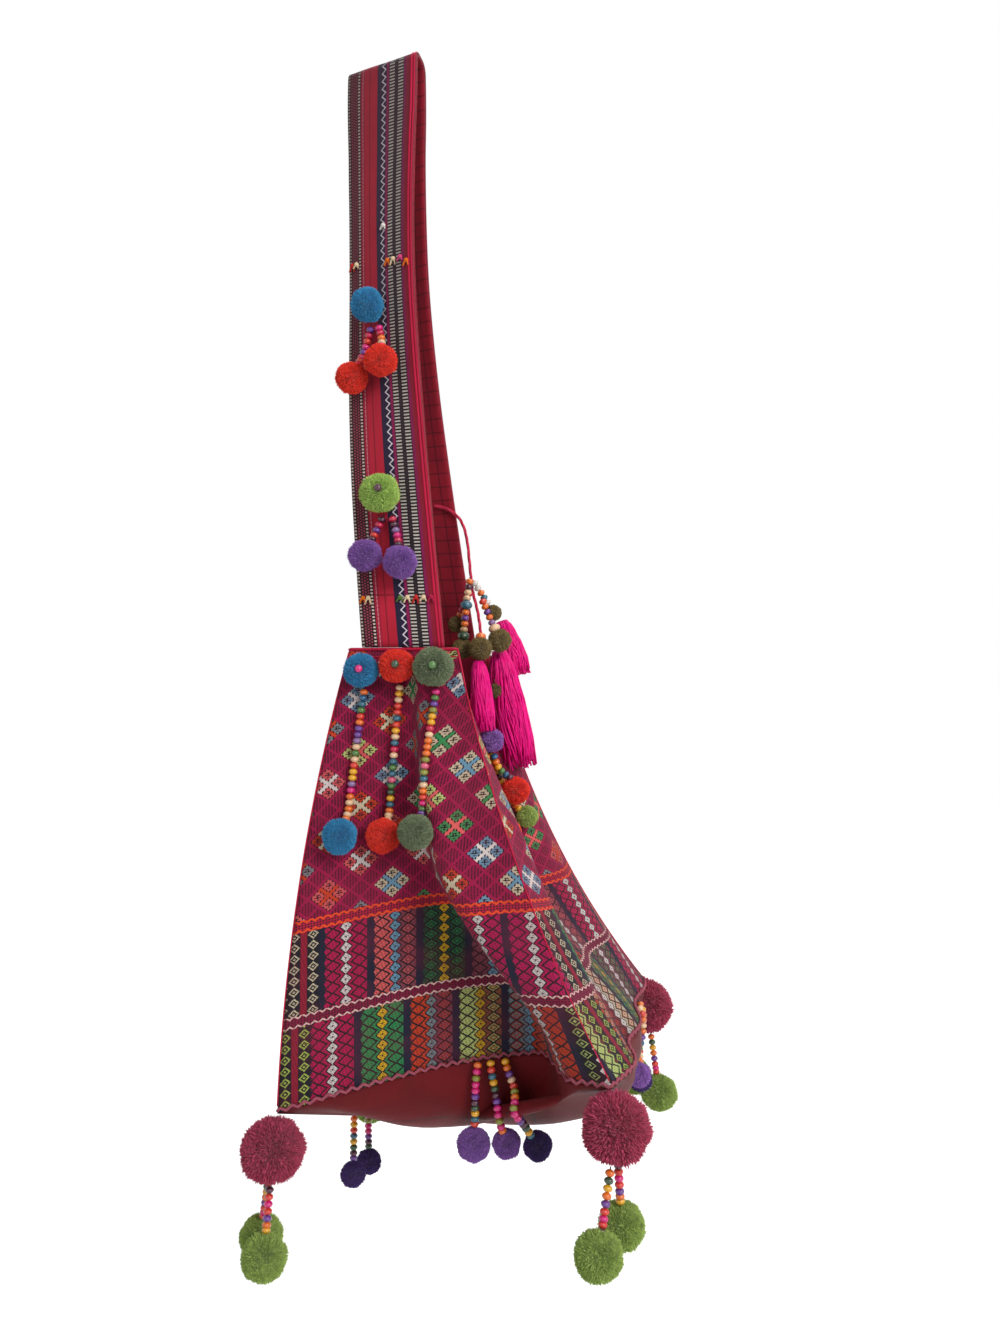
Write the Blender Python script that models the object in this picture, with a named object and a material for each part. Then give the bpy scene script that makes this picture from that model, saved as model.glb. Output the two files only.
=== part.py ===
"""Hanging shoulder bag of brocade cloth, with a striped strap, pompoms, bead strings and tassels.

Metres, +Z up. The origin is where the strap's fold hangs. The near end of the bag faces -X, its
front panel faces -Y. The strap folds over a peg at the crown and its two ends are sewn to the rim.
"""
import math

import bmesh
import bpy
from mathutils import Vector
from mathutils.bvhtree import BVHTree

# Clearances
GAP = 0.0004
REST_GAP = 0.0005
THREAD_GAP = 0.0010

# Strap
STRAP_WIDTH = 0.076
BAND_THICKNESS = 0.0022
LINING_THICKNESS = 0.0014
CROWN_FLAT = 0.010
CROWN_RADIUS = 0.009
CROWN_TWIST = math.radians(15)
MIDDLE_TWIST = math.radians(12)
NEAR_BOW = 0.0088
FAR_BOW = 0.0125
LEG_STEPS = 14
ARC_STEPS = 4

# Rim of the bag, where the strap is sewn on
STRAP_DROP = 0.545
RIM_LENGTH = 0.114
RIM_WIDTH = 0.099
RIM_CENTRE = Vector((0.003, -0.034, -STRAP_DROP))
RIM_DROOP = 0.050

# Hem of the brocade
BODY_HEIGHT = 0.392
HEM_LENGTH = 0.280
HEM_WIDTH = 0.282
HEM_CENTRE = RIM_CENTRE + Vector((0.015, -0.053, -BODY_HEIGHT))
HEM_HITCH = 0.048
CLOTH_THICKNESS = 0.0022

# How far each corner edge bows out of the straight line, half way down
CORNER_BOW = {
    (-1, 1): Vector((-0.0125, 0.007, 0.003)),
    (-1, -1): Vector((-0.002, 0.012, -0.006)),
    (1, -1): Vector((-0.032, 0.013, -0.005)),
    (1, 1): Vector((-0.015, 0.007, 0.0)),
}

# Folds of the cloth
NEAR_PLEAT_DEPTH = 0.080
FAR_PLEAT_DEPTH = 0.045
FRONT_DIP = 0.036
BACK_DIP = 0.022
FRONT_RIDGE = 0.016
# The front dip is shallow at the rim and turns into a slight bulge below the middle
DIP_AT_RIM = 0.15
DIP_TURN = 1.15
HALF_WAY = 0.5
SIDE_COLUMNS = 12
BODY_ROWS = 12

# Red cloth that hangs below the hem
BASE_DEPTH = 0.045
BASE_LOW_POINT = HEM_CENTRE + Vector((-0.022, 0.035, -BASE_DEPTH))
BASE_ROWS = 5
BASE_BULGE = 0.06
CORNER_SPREAD = 0.20

# Pompoms, beads and thread
SMALL_POMPOM = 0.0155
MIDDLE_POMPOM = 0.0175
LARGE_POMPOM = 0.0275
CORNER_POMPOM = 0.0192
TIE_POMPOM = 0.0115
BEAD_RADIUS = 0.0030
BEAD_PITCH = 0.0064
THREAD_RADIUS = 0.0011
BEAD_SIDES = 5
BEAD_PLAY = 0.0008
RING_GUIDE = Vector((0.3, 1, 0))
CORD_DIAMETER = 0.0030

COLOURS = {
    "brocade": ("#B5124F", 0.85), "base_red": ("#8A1820", 0.8), "strap": ("#C8203A", 0.8),
    "lining": ("#6E1522", 0.8), "blue": ("#2A7FB5", 0.95), "red": ("#D8321E", 0.95),
    "grey_green": ("#6E7A5C", 0.95), "lime": ("#8DB84E", 0.95), "purple": ("#7A4FA0", 0.95),
    "dark_purple": ("#3A2060", 0.95), "crimson_pink": ("#B03A5A", 0.95),
    "leaf_green": ("#7FA24A", 0.95), "olive": ("#6B5A30", 0.95), "orange": ("#E8501C", 0.95),
    "magenta": ("#CC0078", 0.7), "cord": ("#C81E48", 0.7), "teal": ("#2E6478", 0.4),
    "cream": ("#E8C098", 0.4),
}


def clear_scene():
    for thing in list(bpy.data.objects):
        bpy.data.objects.remove(thing, do_unlink=True)


def channel(value):
    """One sRGB channel, 0 to 255, as a linear number."""
    share = value / 255
    return share / 12.92 if share <= 0.04045 else ((share + 0.055) / 1.055) ** 2.4


def material(name):
    """The Principled material of one colour name, made once."""
    found = bpy.data.materials.get(name)
    if found:
        return found
    text, roughness = COLOURS[name]
    made = bpy.data.materials.new(name)
    made.use_nodes = True
    shader = made.node_tree.nodes["Principled BSDF"]
    red, green, blue = (channel(int(text[i:i + 2], 16)) for i in (1, 3, 5))
    shader.inputs["Base Color"].default_value = (red, green, blue, 1)
    shader.inputs["Roughness"].default_value = roughness
    shader.inputs["Metallic"].default_value = 0
    return made


def add_node(name, bm, colour, smooth=True):
    """One named object from a bmesh, in the scene."""
    bmesh.ops.recalc_face_normals(bm, faces=bm.faces)
    mesh = bpy.data.meshes.new(name)
    bm.to_mesh(mesh)
    bm.free()
    mesh.materials.append(material(colour))
    if smooth:
        mesh.shade_smooth()
    thing = bpy.data.objects.new(name, mesh)
    bpy.context.scene.collection.objects.link(thing)
    return thing


def smooth_step(value):
    share = min(max(value, 0), 1)
    return share * share * (3 - 2 * share)


def bell(value, middle, spread):
    return math.exp(-((value - middle) / spread) ** 2)


# The strap
def strap_end(side):
    """Middle of the strap where it is sewn to the rim; side is -1 near, 1 far."""
    return RIM_CENTRE + Vector((side * RIM_LENGTH / 2, 0, GAP))


def crown_edge(side):
    height = LINING_THICKNESS + GAP + BAND_THICKNESS / 2
    return Vector((side * (CROWN_FLAT / 2 + CROWN_RADIUS), 0, height - CROWN_RADIUS))


def leg_point(side, share):
    """Middle of the strap at a share of the leg, which bows towards the back of the bag."""
    bow = (NEAR_BOW if side < 0 else FAR_BOW) * math.sin(math.pi * share)
    return crown_edge(side).lerp(strap_end(side), share) + Vector((0, bow, 0))


def width_direction(share):
    """Across the strap, at a share of the leg: turned at the crown, square to the bag at the rim."""
    middle = MIDDLE_TWIST * bell(share, 0.36, 0.28) * smooth_step(share / 0.15)
    angle = CROWN_TWIST * (1 - share) + middle
    return Vector((-math.sin(angle), -math.cos(angle), 0))


def strap_stations():
    """Middle line of the band from the near end over the crown to the far end, with width."""
    stations = []
    for step in range(LEG_STEPS):
        share = 1 - step / LEG_STEPS
        stations.append((leg_point(-1, share), width_direction(share)))
    height = crown_edge(1).z
    for side in (-1, 1):
        angles = range(ARC_STEPS + 1) if side < 0 else range(ARC_STEPS, -1, -1)
        for step in angles:
            angle = step / ARC_STEPS * math.pi / 2
            across = side * (CROWN_FLAT / 2 + CROWN_RADIUS * math.cos(angle))
            point = Vector((across, 0, height + CROWN_RADIUS * math.sin(angle)))
            stations.append((point, width_direction(0)))
    for step in range(1, LEG_STEPS + 1):
        share = step / LEG_STEPS
        stations.append((leg_point(1, share), width_direction(share)))
    return stations


def strap_layer(name, thickness, inset, colour):
    """One layer of the strap, inset towards the peg from the band's middle line.

    Both faces are split along the same diagonal, so that the twisted layers stay parallel.
    """
    stations = strap_stations()
    bm = bmesh.new()
    rings = []
    for index, (point, across) in enumerate(stations):
        before = stations[max(index - 1, 0)][0]
        after = stations[min(index + 1, len(stations) - 1)][0]
        along = (after - before).normalized()
        out = across.cross(along).normalized()
        if index in (0, len(stations) - 1):
            out = Vector((out.x, out.y, 0)).normalized()
        ring = []
        for side, depth in ((-1, 0.5), (1, 0.5), (1, -0.5), (-1, -0.5)):
            place = point + across * (side * STRAP_WIDTH / 2) + out * (depth * thickness - inset)
            ring.append(bm.verts.new(place))
        rings.append(ring)
    for (a, b, c, d), (e, f, g, h) in zip(rings, rings[1:]):
        for face in ((a, b, f), (a, f, e), (b, c, g, f), (c, d, g), (d, h, g), (d, a, e, h)):
            bm.faces.new(face)
    bm.faces.new(rings[0])
    bm.faces.new(rings[-1][::-1])
    return add_node(name, bm, colour, smooth=False)


# The body
def through(start, middle, end, share):
    """A smooth line from start to end that passes the middle half way."""
    first = (1 - share) * (1 - 2 * share)
    second = 4 * share * (1 - share)
    third = share * (2 * share - 1)
    return start * first + middle * second + end * third


def corner(side_x, side_y, share):
    """A corner edge of the body at a share of the way from rim to hem."""
    top = RIM_CENTRE + Vector((side_x * RIM_LENGTH / 2, side_y * RIM_WIDTH / 2, 0))
    hitch = HEM_HITCH if side_y < 0 else 0
    low = HEM_CENTRE + Vector((side_x * HEM_LENGTH / 2, side_y * HEM_WIDTH / 2, hitch))
    middle = (top + low) / 2 + CORNER_BOW[(side_x, side_y)]
    return through(top, middle, low, share)


def pleat(across, down, depth, lip):
    """How far an end panel is tucked in: a long slope to the fold, then a short way back out."""
    fold = lip - 0.08 - 0.08 * down
    depth = depth * smooth_step(down / 1.1) ** 0.8
    if across < fold:
        return depth * math.sin(math.pi / 2 * across / fold) ** 1.1
    if across < lip:
        return depth * (1 - 0.88 * smooth_step((across - fold) / (lip - fold)))
    return 0.12 * depth * (1 - smooth_step((across - lip) / (1 - lip)))


def near_panel(across, down):
    lip = 0.64 + 0.26 * smooth_step((down - 0.45) / 0.5)
    bulge = 0.008 * bell(across, lip + 0.05, 0.10) * math.sin(math.pi * down)
    inward = pleat(across, down, NEAR_PLEAT_DEPTH, lip) - bulge
    rise = 0.004 * math.sin(math.pi * across) * down
    return Vector((inward, 0, rise))


def front_panel(across, down):
    ridge = FRONT_RIDGE * bell(across, 0.20, 0.12) * smooth_step(down / 0.5)
    deepening = DIP_AT_RIM + (1 - DIP_AT_RIM) * smooth_step(down / 0.7)
    depth = deepening * (1 - DIP_TURN * smooth_step((down - HALF_WAY) / HALF_WAY))
    dip = FRONT_DIP * bell(across, 0.55, 0.24) * depth
    ripple = 0.004 * math.sin(5 * math.pi * across) * smooth_step(down)
    hang = math.sin(math.pi * across)
    droop = RIM_DROOP * hang * (1 - down) ** 2
    return Vector((0, dip * hang - ridge * hang ** 0.5 - ripple, -droop))


def far_panel(across, down):
    return Vector((-pleat(across, down, FAR_PLEAT_DEPTH, 0.70), 0, 0.004 * math.sin(math.pi * across)
                   * down))


def back_panel(across, down):
    dip = BACK_DIP * bell(across, 0.5, 0.25) * (0.4 + 0.6 * smooth_step(down / 0.6))
    ripple = 0.004 * math.sin(4 * math.pi * across) * smooth_step(down)
    hang = math.sin(math.pi * across)
    return Vector((0, -dip * hang + ripple, -RIM_DROOP * hang * (1 - down) ** 2))


PANELS = (
    ((-1, 1), (-1, -1), near_panel),
    ((-1, -1), (1, -1), front_panel),
    ((1, -1), (1, 1), far_panel),
    ((1, 1), (-1, 1), back_panel),
)


def body_point(around, down):
    """A point of the brocade: around runs 0 to 4 over the four panels, down 0 to 1."""
    panel = int(around) % 4
    across = around - int(around)
    start, end, shape = PANELS[panel]
    return corner(*start, down).lerp(corner(*end, down), across) + shape(across, down)


def body_row(down):
    count = 4 * SIDE_COLUMNS
    return [body_point(index / SIDE_COLUMNS, down) for index in range(count)]


def inner_row(row, lean):
    """The same ring one cloth thickness inside: level where lean is 0, straight up where it is 1."""
    flat = math.cos(lean * math.pi / 2) * CLOTH_THICKNESS
    lift = math.sin(lean * math.pi / 2) * CLOTH_THICKNESS
    points = []
    for index, point in enumerate(row):
        along = row[(index + 1) % len(row)] - row[index - 1]
        out = Vector((along.y, -along.x, 0)).normalized()
        points.append(point - out * flat + Vector((0, 0, lift)))
    return points


def cloth_shell(name, rows, leans, colour, low=None):
    """A solid cloth of one thickness through rings of points, closed at a low point if given."""
    bm = bmesh.new()
    outer = [[bm.verts.new(point) for point in row] for row in rows]
    inner = [[bm.verts.new(point) for point in inner_row(row, lean)]
             for row, lean in zip(rows, leans)]
    ends = [(inner[0], outer[0])] if low else [(inner[0], outer[0]), (outer[-1], inner[-1])]
    pairs = ends + list(zip(outer, outer[1:])) + [(below, above) for above, below
                                                  in zip(inner, inner[1:])]
    count = len(rows[0])
    for upper, lower in pairs:
        for i in range(count):
            j = (i + 1) % count
            bm.faces.new((upper[i], lower[i], lower[j], upper[j]))
    if low:
        tips = (bm.verts.new(low), bm.verts.new(low + Vector((0, 0, CLOTH_THICKNESS))))
        for i in range(count):
            j = (i + 1) % count
            bm.faces.new((outer[-1][i], tips[0], outer[-1][j]))
            bm.faces.new((inner[-1][j], tips[1], inner[-1][i]))
    return add_node(name, bm, colour)


def base_row(share):
    """A ring of the red cloth, from just below the hem at 0 towards its low point at 1.

    It hangs steeply under the middle of each side and runs straight to the low point from each
    corner, where the pompoms hang.
    """
    turn = share * math.pi / 2
    row = []
    for index, point in enumerate(body_row(1)):
        across = index / SIDE_COLUMNS % 1
        straight = bell(min(across, 1 - across), 0, CORNER_SPREAD)
        spread = math.cos(turn) ** 0.75 + BASE_BULGE * (1 - straight) * math.sin(2 * turn)
        drop = straight * (1 - spread) + (1 - straight) * math.sin(turn) ** 0.9
        start = point - Vector((0, 0, GAP))
        flat = start.lerp(BASE_LOW_POINT, 1 - spread)
        row.append(Vector((flat.x, flat.y, start.z + (BASE_LOW_POINT.z - start.z) * drop)))
    return row


# Where a round piece touches the cloth
def surface_tree(things):
    """A search tree over the evaluated meshes of the given objects."""
    graph = bpy.context.evaluated_depsgraph_get()
    points, faces = [], []
    for thing in things:
        mesh = thing.evaluated_get(graph).to_mesh()
        first = len(points)
        points.extend(vertex.co.copy() for vertex in mesh.vertices)
        faces.extend([first + i for i in face.vertices] for face in mesh.polygons)
    return BVHTree.FromPolygons(points, faces)


def rest_against(tree, place, towards, radius):
    """Centre of a ball of that radius, moved from place along towards until it nearly touches."""
    centre = place.copy()
    for step in range(60):
        found = tree.find_nearest(centre)
        room = found[3] - radius - REST_GAP
        if room < 0.00005:
            break
        centre += towards * max(room * 0.7, 0.00004)
    return centre


def clear_of(tree, centre, out, radius):
    """The centre, moved out where a ball of that radius would touch the cloth."""
    found = rest_against(tree, centre + out * 0.1, -out, radius)
    return found if (found - centre).dot(out) > 0 else centre


# Pompoms, beads, tassels
def ball(bm, centre, radius, detail=2):
    made = bmesh.ops.create_icosphere(bm, subdivisions=detail, radius=radius)
    bmesh.ops.translate(bm, verts=made["verts"], vec=centre)


def pompom(name, centre, radius, colour, detail=2):
    bm = bmesh.new()
    ball(bm, centre, radius, detail)
    return add_node(name, bm, colour)


def string_rings(points, bead_start, bead_end):
    """Rings along a thread: beads between two distances from its start, bare thread elsewhere."""
    lengths = [0]
    for first, second in zip(points, points[1:]):
        lengths.append(lengths[-1] + (second - first).length)
    count = max(int((bead_end - bead_start) / BEAD_PITCH), 1)
    pitch = (bead_end - bead_start) / count
    stops = [(0, THREAD_RADIUS)]
    for index in range(count):
        stops.append((bead_start + index * pitch + 0.0002, THREAD_RADIUS))
        stops.append((bead_start + (index + 0.5) * pitch, BEAD_RADIUS))
    stops.append((bead_end, THREAD_RADIUS))
    stops.append((lengths[-1], THREAD_RADIUS))

    def at(distance):
        for index in range(len(points) - 1):
            if distance <= lengths[index + 1] or index == len(points) - 2:
                run = lengths[index + 1] - lengths[index]
                return points[index].lerp(points[index + 1], (distance - lengths[index]) / run)

    return [(at(distance), radius) for distance, radius in stops]


def bead_string(bm, points, bead_start, bead_end):
    """A closed solid of beads on a thread."""
    rings = []
    stops = string_rings(points, bead_start, bead_end)
    for index, (place, radius) in enumerate(stops):
        before = stops[max(index - 1, 0)][0]
        after = stops[min(index + 1, len(stops) - 1)][0]
        along = (after - before).normalized()
        across = along.cross(RING_GUIDE).normalized()
        other = along.cross(across)
        ring = []
        for side in range(BEAD_SIDES):
            angle = 2 * math.pi * side / BEAD_SIDES
            spoke = across * math.cos(angle) + other * math.sin(angle)
            ring.append(bm.verts.new(place + spoke * radius))
        rings.append(ring)
    for first, second in zip(rings, rings[1:]):
        for i in range(BEAD_SIDES):
            j = (i + 1) % BEAD_SIDES
            bm.faces.new((first[i], first[j], second[j], second[i]))
    bm.faces.new(rings[0][::-1])
    bm.faces.new(rings[-1])


def fuse(name, thing, other):
    """Both objects as one closed solid, under the first one's name."""
    join = thing.modifiers.new("join", "BOOLEAN")
    join.operation = "UNION"
    join.object = other
    graph = bpy.context.evaluated_depsgraph_get()
    mesh = bpy.data.meshes.new_from_object(thing.evaluated_get(graph))
    mesh.name = name
    thing.modifiers.clear()
    thing.data = mesh
    bpy.data.objects.remove(other, do_unlink=True)
    return thing


def pendant(name, points, radius, colour, bare=0.002):
    """A string of beads along points that ends in a pompom centred on the last one."""
    knot = points[-1]
    length = sum((b - a).length for a, b in zip(points, points[1:]))
    inside = (points[-2] - knot).normalized() * (radius * 0.5)
    route = list(points[:-1]) + [knot + inside]
    end = length - radius + 0.0005
    strand = bmesh.new()
    bead_string(strand, route, bare, end)
    thread = add_node(name + "_string", strand, colour)
    bm = bmesh.new()
    ball(bm, knot, radius)
    return fuse(name, add_node(name, bm, colour), thread)


def tassel(name, top, foot, radius, colour):
    """A tied bundle of silk: a round head, a tight neck and a skirt that widens."""
    along = foot - top
    bm = bmesh.new()
    profile = ((0.0, 0.25), (0.05, 0.62), (0.12, 0.68), (0.19, 0.42), (0.24, 0.40), (0.45, 0.80),
               (0.80, 1.0), (1.0, 0.92))
    across = along.cross(Vector((0, 1, 0))).normalized()
    other = along.normalized().cross(across)
    sides = 8
    rings = []
    for share, width in profile:
        ring = []
        for side in range(sides):
            angle = 2 * math.pi * side / sides
            spoke = across * math.cos(angle) + other * math.sin(angle)
            ring.append(bm.verts.new(top + along * share + spoke * (radius * width)))
        rings.append(ring)
    for first, second in zip(rings, rings[1:]):
        for i in range(sides):
            j = (i + 1) % sides
            bm.faces.new((first[i], first[j], second[j], second[i]))
    bm.faces.new(rings[0][::-1])
    bm.faces.new(rings[-1])
    return add_node(name, bm, colour)


# Clusters on the strap: depth below the crown, place across the strap from its middle, radius and
# colour of the top pompom, then for each pendant its sideways reach, its drop and its colour
STRAP_CLUSTERS = {
    "upper": (STRAP_DROP - 0.3085, -0.003, SMALL_POMPOM, "blue",
              (("left", -0.0195, 0.066, "red"), ("right", 0.0125, 0.054, "red"))),
    "lower": (STRAP_DROP - 0.1350, -0.002, MIDDLE_POMPOM, "lime",
              (("left", -0.0195, 0.055, "purple"), ("right", 0.0130, 0.062, "purple"))),
}
CLUSTER_START = 0.0045
STRING_LIFTS = (0.0022, 0.0035)
# The twist of the strap brings its face a little towards the low pompoms
TWIST_PLAY = 0.0015


def leg_frame(side, depth):
    """Middle of the strap at a depth below the crown, with its width and outward directions."""
    top, low = crown_edge(side), strap_end(side)
    share = (top.z + depth) / (top.z - low.z)
    point = leg_point(side, share)
    across = width_direction(share)
    out = across.cross(leg_point(side, share + 0.05) - leg_point(side, share - 0.05)).normalized()
    if out.x * side < 0:
        out = -out
    return point, across, out


def on_strap(side, depth, offset, lift):
    """A point over the outer face of the strap."""
    point, across, out = leg_frame(side, depth)
    return point + across * offset + out * (BAND_THICKNESS / 2 + REST_GAP + lift)


def strap_clusters():
    for side, label in ((-1, "near"), (1, "far")):
        for place, (depth, offset, radius, colour, pendants) in STRAP_CLUSTERS.items():
            stem = f"{label}_{place}"
            pompom(f"{stem}_pompom", on_strap(side, depth, offset, radius), radius, colour)
            start = depth + radius + THREAD_GAP + THREAD_RADIUS
            for hand, reach, drop, shade in pendants:
                first = offset + math.copysign(CLUSTER_START, reach)
                points = [
                    on_strap(side, start, first, BEAD_RADIUS + STRING_LIFTS[0]),
                    on_strap(side, depth + drop * 0.6, (first + offset + reach) / 2,
                             BEAD_RADIUS + STRING_LIFTS[1]),
                    on_strap(side, depth + drop, offset + reach, SMALL_POMPOM + TWIST_PLAY),
                ]
                pendant(f"{stem}_{hand}_pendant", points, SMALL_POMPOM - 0.0005, shade)


# Three long pendants on each end panel: top pompom radius, its place from the panel's middle and
# its depth below the rim, then the place and depth of the low pompom
END_AWAY = 0.25
STRING_STEPS = 7
END_SET = (
    ("blue", "blue", 0.0155, 0.0315, 0.020, 0.0425, 0.162),
    ("red", "red", 0.0155, -0.0005, 0.016, 0.0095, 0.163),
    ("grey", "grey_green", 0.0180, -0.0350, 0.017, -0.0250, 0.156),
)


def end_sets(tree):
    for side, label in ((-1, "near"), (1, "far")):
        inward = Vector((-side, 0, 0))
        for title, colour, radius, top_across, top_depth, low_across, low_depth in END_SET:
            away = RIM_CENTRE + Vector((side * END_AWAY, 0, 0))
            top_place = away + Vector((0, top_across, -top_depth))
            top = rest_against(tree, top_place, inward, radius)
            pompom(f"{label}_end_{title}_pompom", top, radius, colour)
            low_place = away + Vector((0, low_across, -low_depth))
            low = rest_against(tree, low_place, inward, SMALL_POMPOM)
            start = top_place - Vector((0, 0, radius + THREAD_GAP + THREAD_RADIUS))
            points = []
            for step in range(STRING_STEPS):
                place = start.lerp(low_place, step / STRING_STEPS)
                points.append(rest_against(tree, place, inward, BEAD_RADIUS + BEAD_PLAY))
            points.append(low)
            pendant(f"{label}_end_{title}_pendant", points, SMALL_POMPOM, colour)


# Corners of the hem
CORNER_NAMES = {(-1, 1): "near_left", (-1, -1): "near_right", (1, -1): "far_right",
                (1, 1): "far_left"}
CORNER_OUT = 0.004
CORNER_DROP = 0.0020
HOOK_BEADS = (0.0005, 0.0012)
# Height of each string, and where its pompom hangs from the middle of the large one, along X and Y
CORNER_STRINGS = (("left", 0.046), ("right", 0.042))
CORNER_LOWS = {
    "near_left": (Vector((0.0170, 0.0190, 0)), Vector((-0.0180, -0.0010, 0))),
    "near_right": (Vector((-0.0280, 0.0100, 0)), Vector((0.0094, -0.0033, 0))),
    "far_right": (Vector((-0.0140, -0.0140, 0)), Vector((0.0140, 0.0140, 0))),
    "far_left": (Vector((0.0140, -0.0140, 0)), Vector((-0.0140, 0.0140, 0))),
}
CORNER_START = 0.35


def corner_sets():
    """A large pompom under each corner, with two green pendants below it."""
    for key, label in CORNER_NAMES.items():
        tip = corner(*key, 1)
        out = Vector((key[0], key[1], 0)).normalized()
        centre = tip + out * CORNER_OUT - Vector((0, 0, LARGE_POMPOM + CORNER_DROP))
        bm = bmesh.new()
        ball(bm, centre, LARGE_POMPOM, 3)
        body = add_node(f"{label}_corner_pompom", bm, "crimson_pink")
        strand = bmesh.new()
        hook = tip + out * (THREAD_RADIUS + GAP) - Vector((0, 0, GAP))
        bead_string(strand, [hook, centre + Vector((0, 0, LARGE_POMPOM * 0.6))], *HOOK_BEADS)
        fuse(f"{label}_corner_pompom", body, add_node(f"{label}_hook", strand, "crimson_pink"))
        below = centre - Vector((0, 0, LARGE_POMPOM + THREAD_GAP))
        for (hand, drop), shift in zip(CORNER_STRINGS, CORNER_LOWS[label]):
            start = below + shift * CORNER_START
            low = below + shift - Vector((0, 0, drop + CORNER_POMPOM * 0.5))
            name = f"{label}_corner_{hand}_pendant"
            pendant(name, [start, start.lerp(low, 0.5), low], CORNER_POMPOM, "leaf_green")


# Pendants under the middle of each side of the hem: panel, colour, then for each pendant its
# place along the panel, its drop, its sideways lean and its pompom
HEM_SETS = {
    "near": (0, Vector((-1, 0, 0)), (
        ("left", 0.555, 0.071, -0.0040, 0.0150, "purple"),
        ("middle", 0.593, 0.070, 0.0143, 0.0130, "purple"),
        ("right", 0.637, 0.072, 0.0290, 0.0130, "dark_purple"),
    )),
    "front": (1, Vector((0, -1, 0)), (
        ("left", 0.69, 0.062, -0.008, 0.0125, "purple"),
        ("right", 0.73, 0.078, 0.009, 0.0125, "dark_purple"),
    )),
    "far": (2, Vector((1, 0, 0)), (
        ("left", 0.50, 0.085, 0.0, 0.0150, "purple"),
    )),
    "back": (3, Vector((0, 1, 0)), (
        ("left", 0.42, 0.118, -0.005, 0.0125, "dark_purple"),
        ("right", 0.52, 0.112, 0.005, 0.0125, "dark_purple"),
    )),
}


ROUTE_SHARES = (0.1, 0.2, 0.3, 0.45, 0.65)
HEM_PLAY = 0.0035


def hem_sets(tree):
    for label, (panel, out, pendants) in HEM_SETS.items():
        side = Vector((-out.y, out.x, 0))
        for hand, across, drop, lean, radius, colour in pendants:
            hem = body_point(panel + across, 1)
            start = hem + out * (BEAD_RADIUS + REST_GAP) - Vector((0, 0, THREAD_GAP))
            low = clear_of(tree, start + side * lean - Vector((0, 0, drop)), out, radius)
            route = [clear_of(tree, start.lerp(low, share), out, BEAD_RADIUS + HEM_PLAY)
                     for share in ROUTE_SHARES]
            pendant(f"{label}_hem_{hand}_pendant", [start, *route, low], radius, colour)


# Cluster on the front panel: name, colour, radius, place along X and depth below the middle of the
# rim, then how far the string and the pompom are lifted off the cloth
FRONT_SET = (
    ("left", "orange", 0.0095, 0.0010, 0.1685, 0.001, 0),
    ("middle", "red", 0.0135, 0.0090, 0.1320, 0.007, 0.008),
    ("right", "leaf_green", 0.0110, 0.0215, 0.1580, 0.001, 0),
)
FRONT_TOP = (-0.001, 0.0850, 0.0115)
FRONT_AWAY = 0.25
FRONT_SPACING = 0.0068
FRONT_SHARES = (0, 0.35, 0.7)


def front_set(tree):
    """A purple pompom near the rim of the front panel, with three pendants below it."""
    inward = Vector((0, 1, 0))
    across, depth, radius = FRONT_TOP
    away = RIM_CENTRE - Vector((0, FRONT_AWAY, 0))
    top = rest_against(tree, away + Vector((across, 0, -depth)), inward, radius)
    pompom("front_top_pompom", top, radius, "purple")
    string_top = depth + radius + THREAD_GAP + THREAD_RADIUS
    for index, (hand, colour, size, low_across, low_depth, lift, raised) in enumerate(FRONT_SET):
        start = away + Vector((across + (index - 1) * FRONT_SPACING, 0, -string_top))
        low_place = away + Vector((low_across, 0, -low_depth))
        low = rest_against(tree, low_place, inward, size) - inward * raised
        points = [rest_against(tree, start.lerp(low_place, share), inward, BEAD_RADIUS + lift)
                  for share in FRONT_SHARES]
        pendant(f"front_{hand}_pendant", points + [low], size, colour)


# The tie cord drapes from the lining of the far half of the strap over the front of the mouth; its
# points, and those of what hangs from it, are measured from the middle of the rim
TIE_ROUTE = [RIM_CENTRE + Vector(point) for point in (
    (0.0371, -0.0010, 0.1400), (0.0366, -0.0140, 0.1365), (0.0362, -0.0260, 0.1270),
    (0.0320, -0.0330, 0.1140), (0.0275, -0.0370, 0.0994), (0.0230, -0.0405, 0.0770),
    (0.0192, -0.0440, 0.0554), (0.0110, -0.0512, 0.0340), (0.0025, -0.0564, 0.0132),
)]
TIE_STEPS = 3
TIE_MIDDLE = Vector((-0.0040, -0.0003, 0))
TIE_STRINGS = (
    ("left", 0.0105, ((0.0142, -0.0425, 0.0650), (0.0080, -0.0405, 0.0390),
                      (0.0108, -0.0362, -0.0005))),
    ("right", 0.0115, ((0.0165, -0.0540, 0.0460), (0.0170, -0.0610, 0.0300),
                       (0.0180, -0.0705, 0.0076))),
)
# Silk tassels: foot from the top for the first, then top and foot of the others, and radius
MIDDLE_TASSEL = (Vector((-0.0020, -0.0060, -0.0610)), 0.0090)
SIDE_TASSELS = (
    ("right", Vector((0.0640, -0.0619, 0.0275)), Vector((0.0640, -0.0789, -0.0240)), 0.0120),
    ("long", Vector((0.0360, -0.0657, -0.0015)), Vector((0.0370, -0.0861, -0.1087)), 0.0145),
)


def tie_cord():
    curve = bpy.data.curves.new("tie_cord", "CURVE")
    curve.dimensions = "3D"
    curve.bevel_depth = CORD_DIAMETER / 2
    curve.bevel_resolution = 2
    curve.use_fill_caps = True
    spline = curve.splines.new("POLY")
    points = smooth_route(TIE_ROUTE, TIE_STEPS)
    spline.points.add(len(points) - 1)
    for slot, point in zip(spline.points, points):
        slot.co = (*point, 1)
    curve.materials.append(material("cord"))
    thing = bpy.data.objects.new("tie_cord", curve)
    bpy.context.scene.collection.objects.link(thing)


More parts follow.
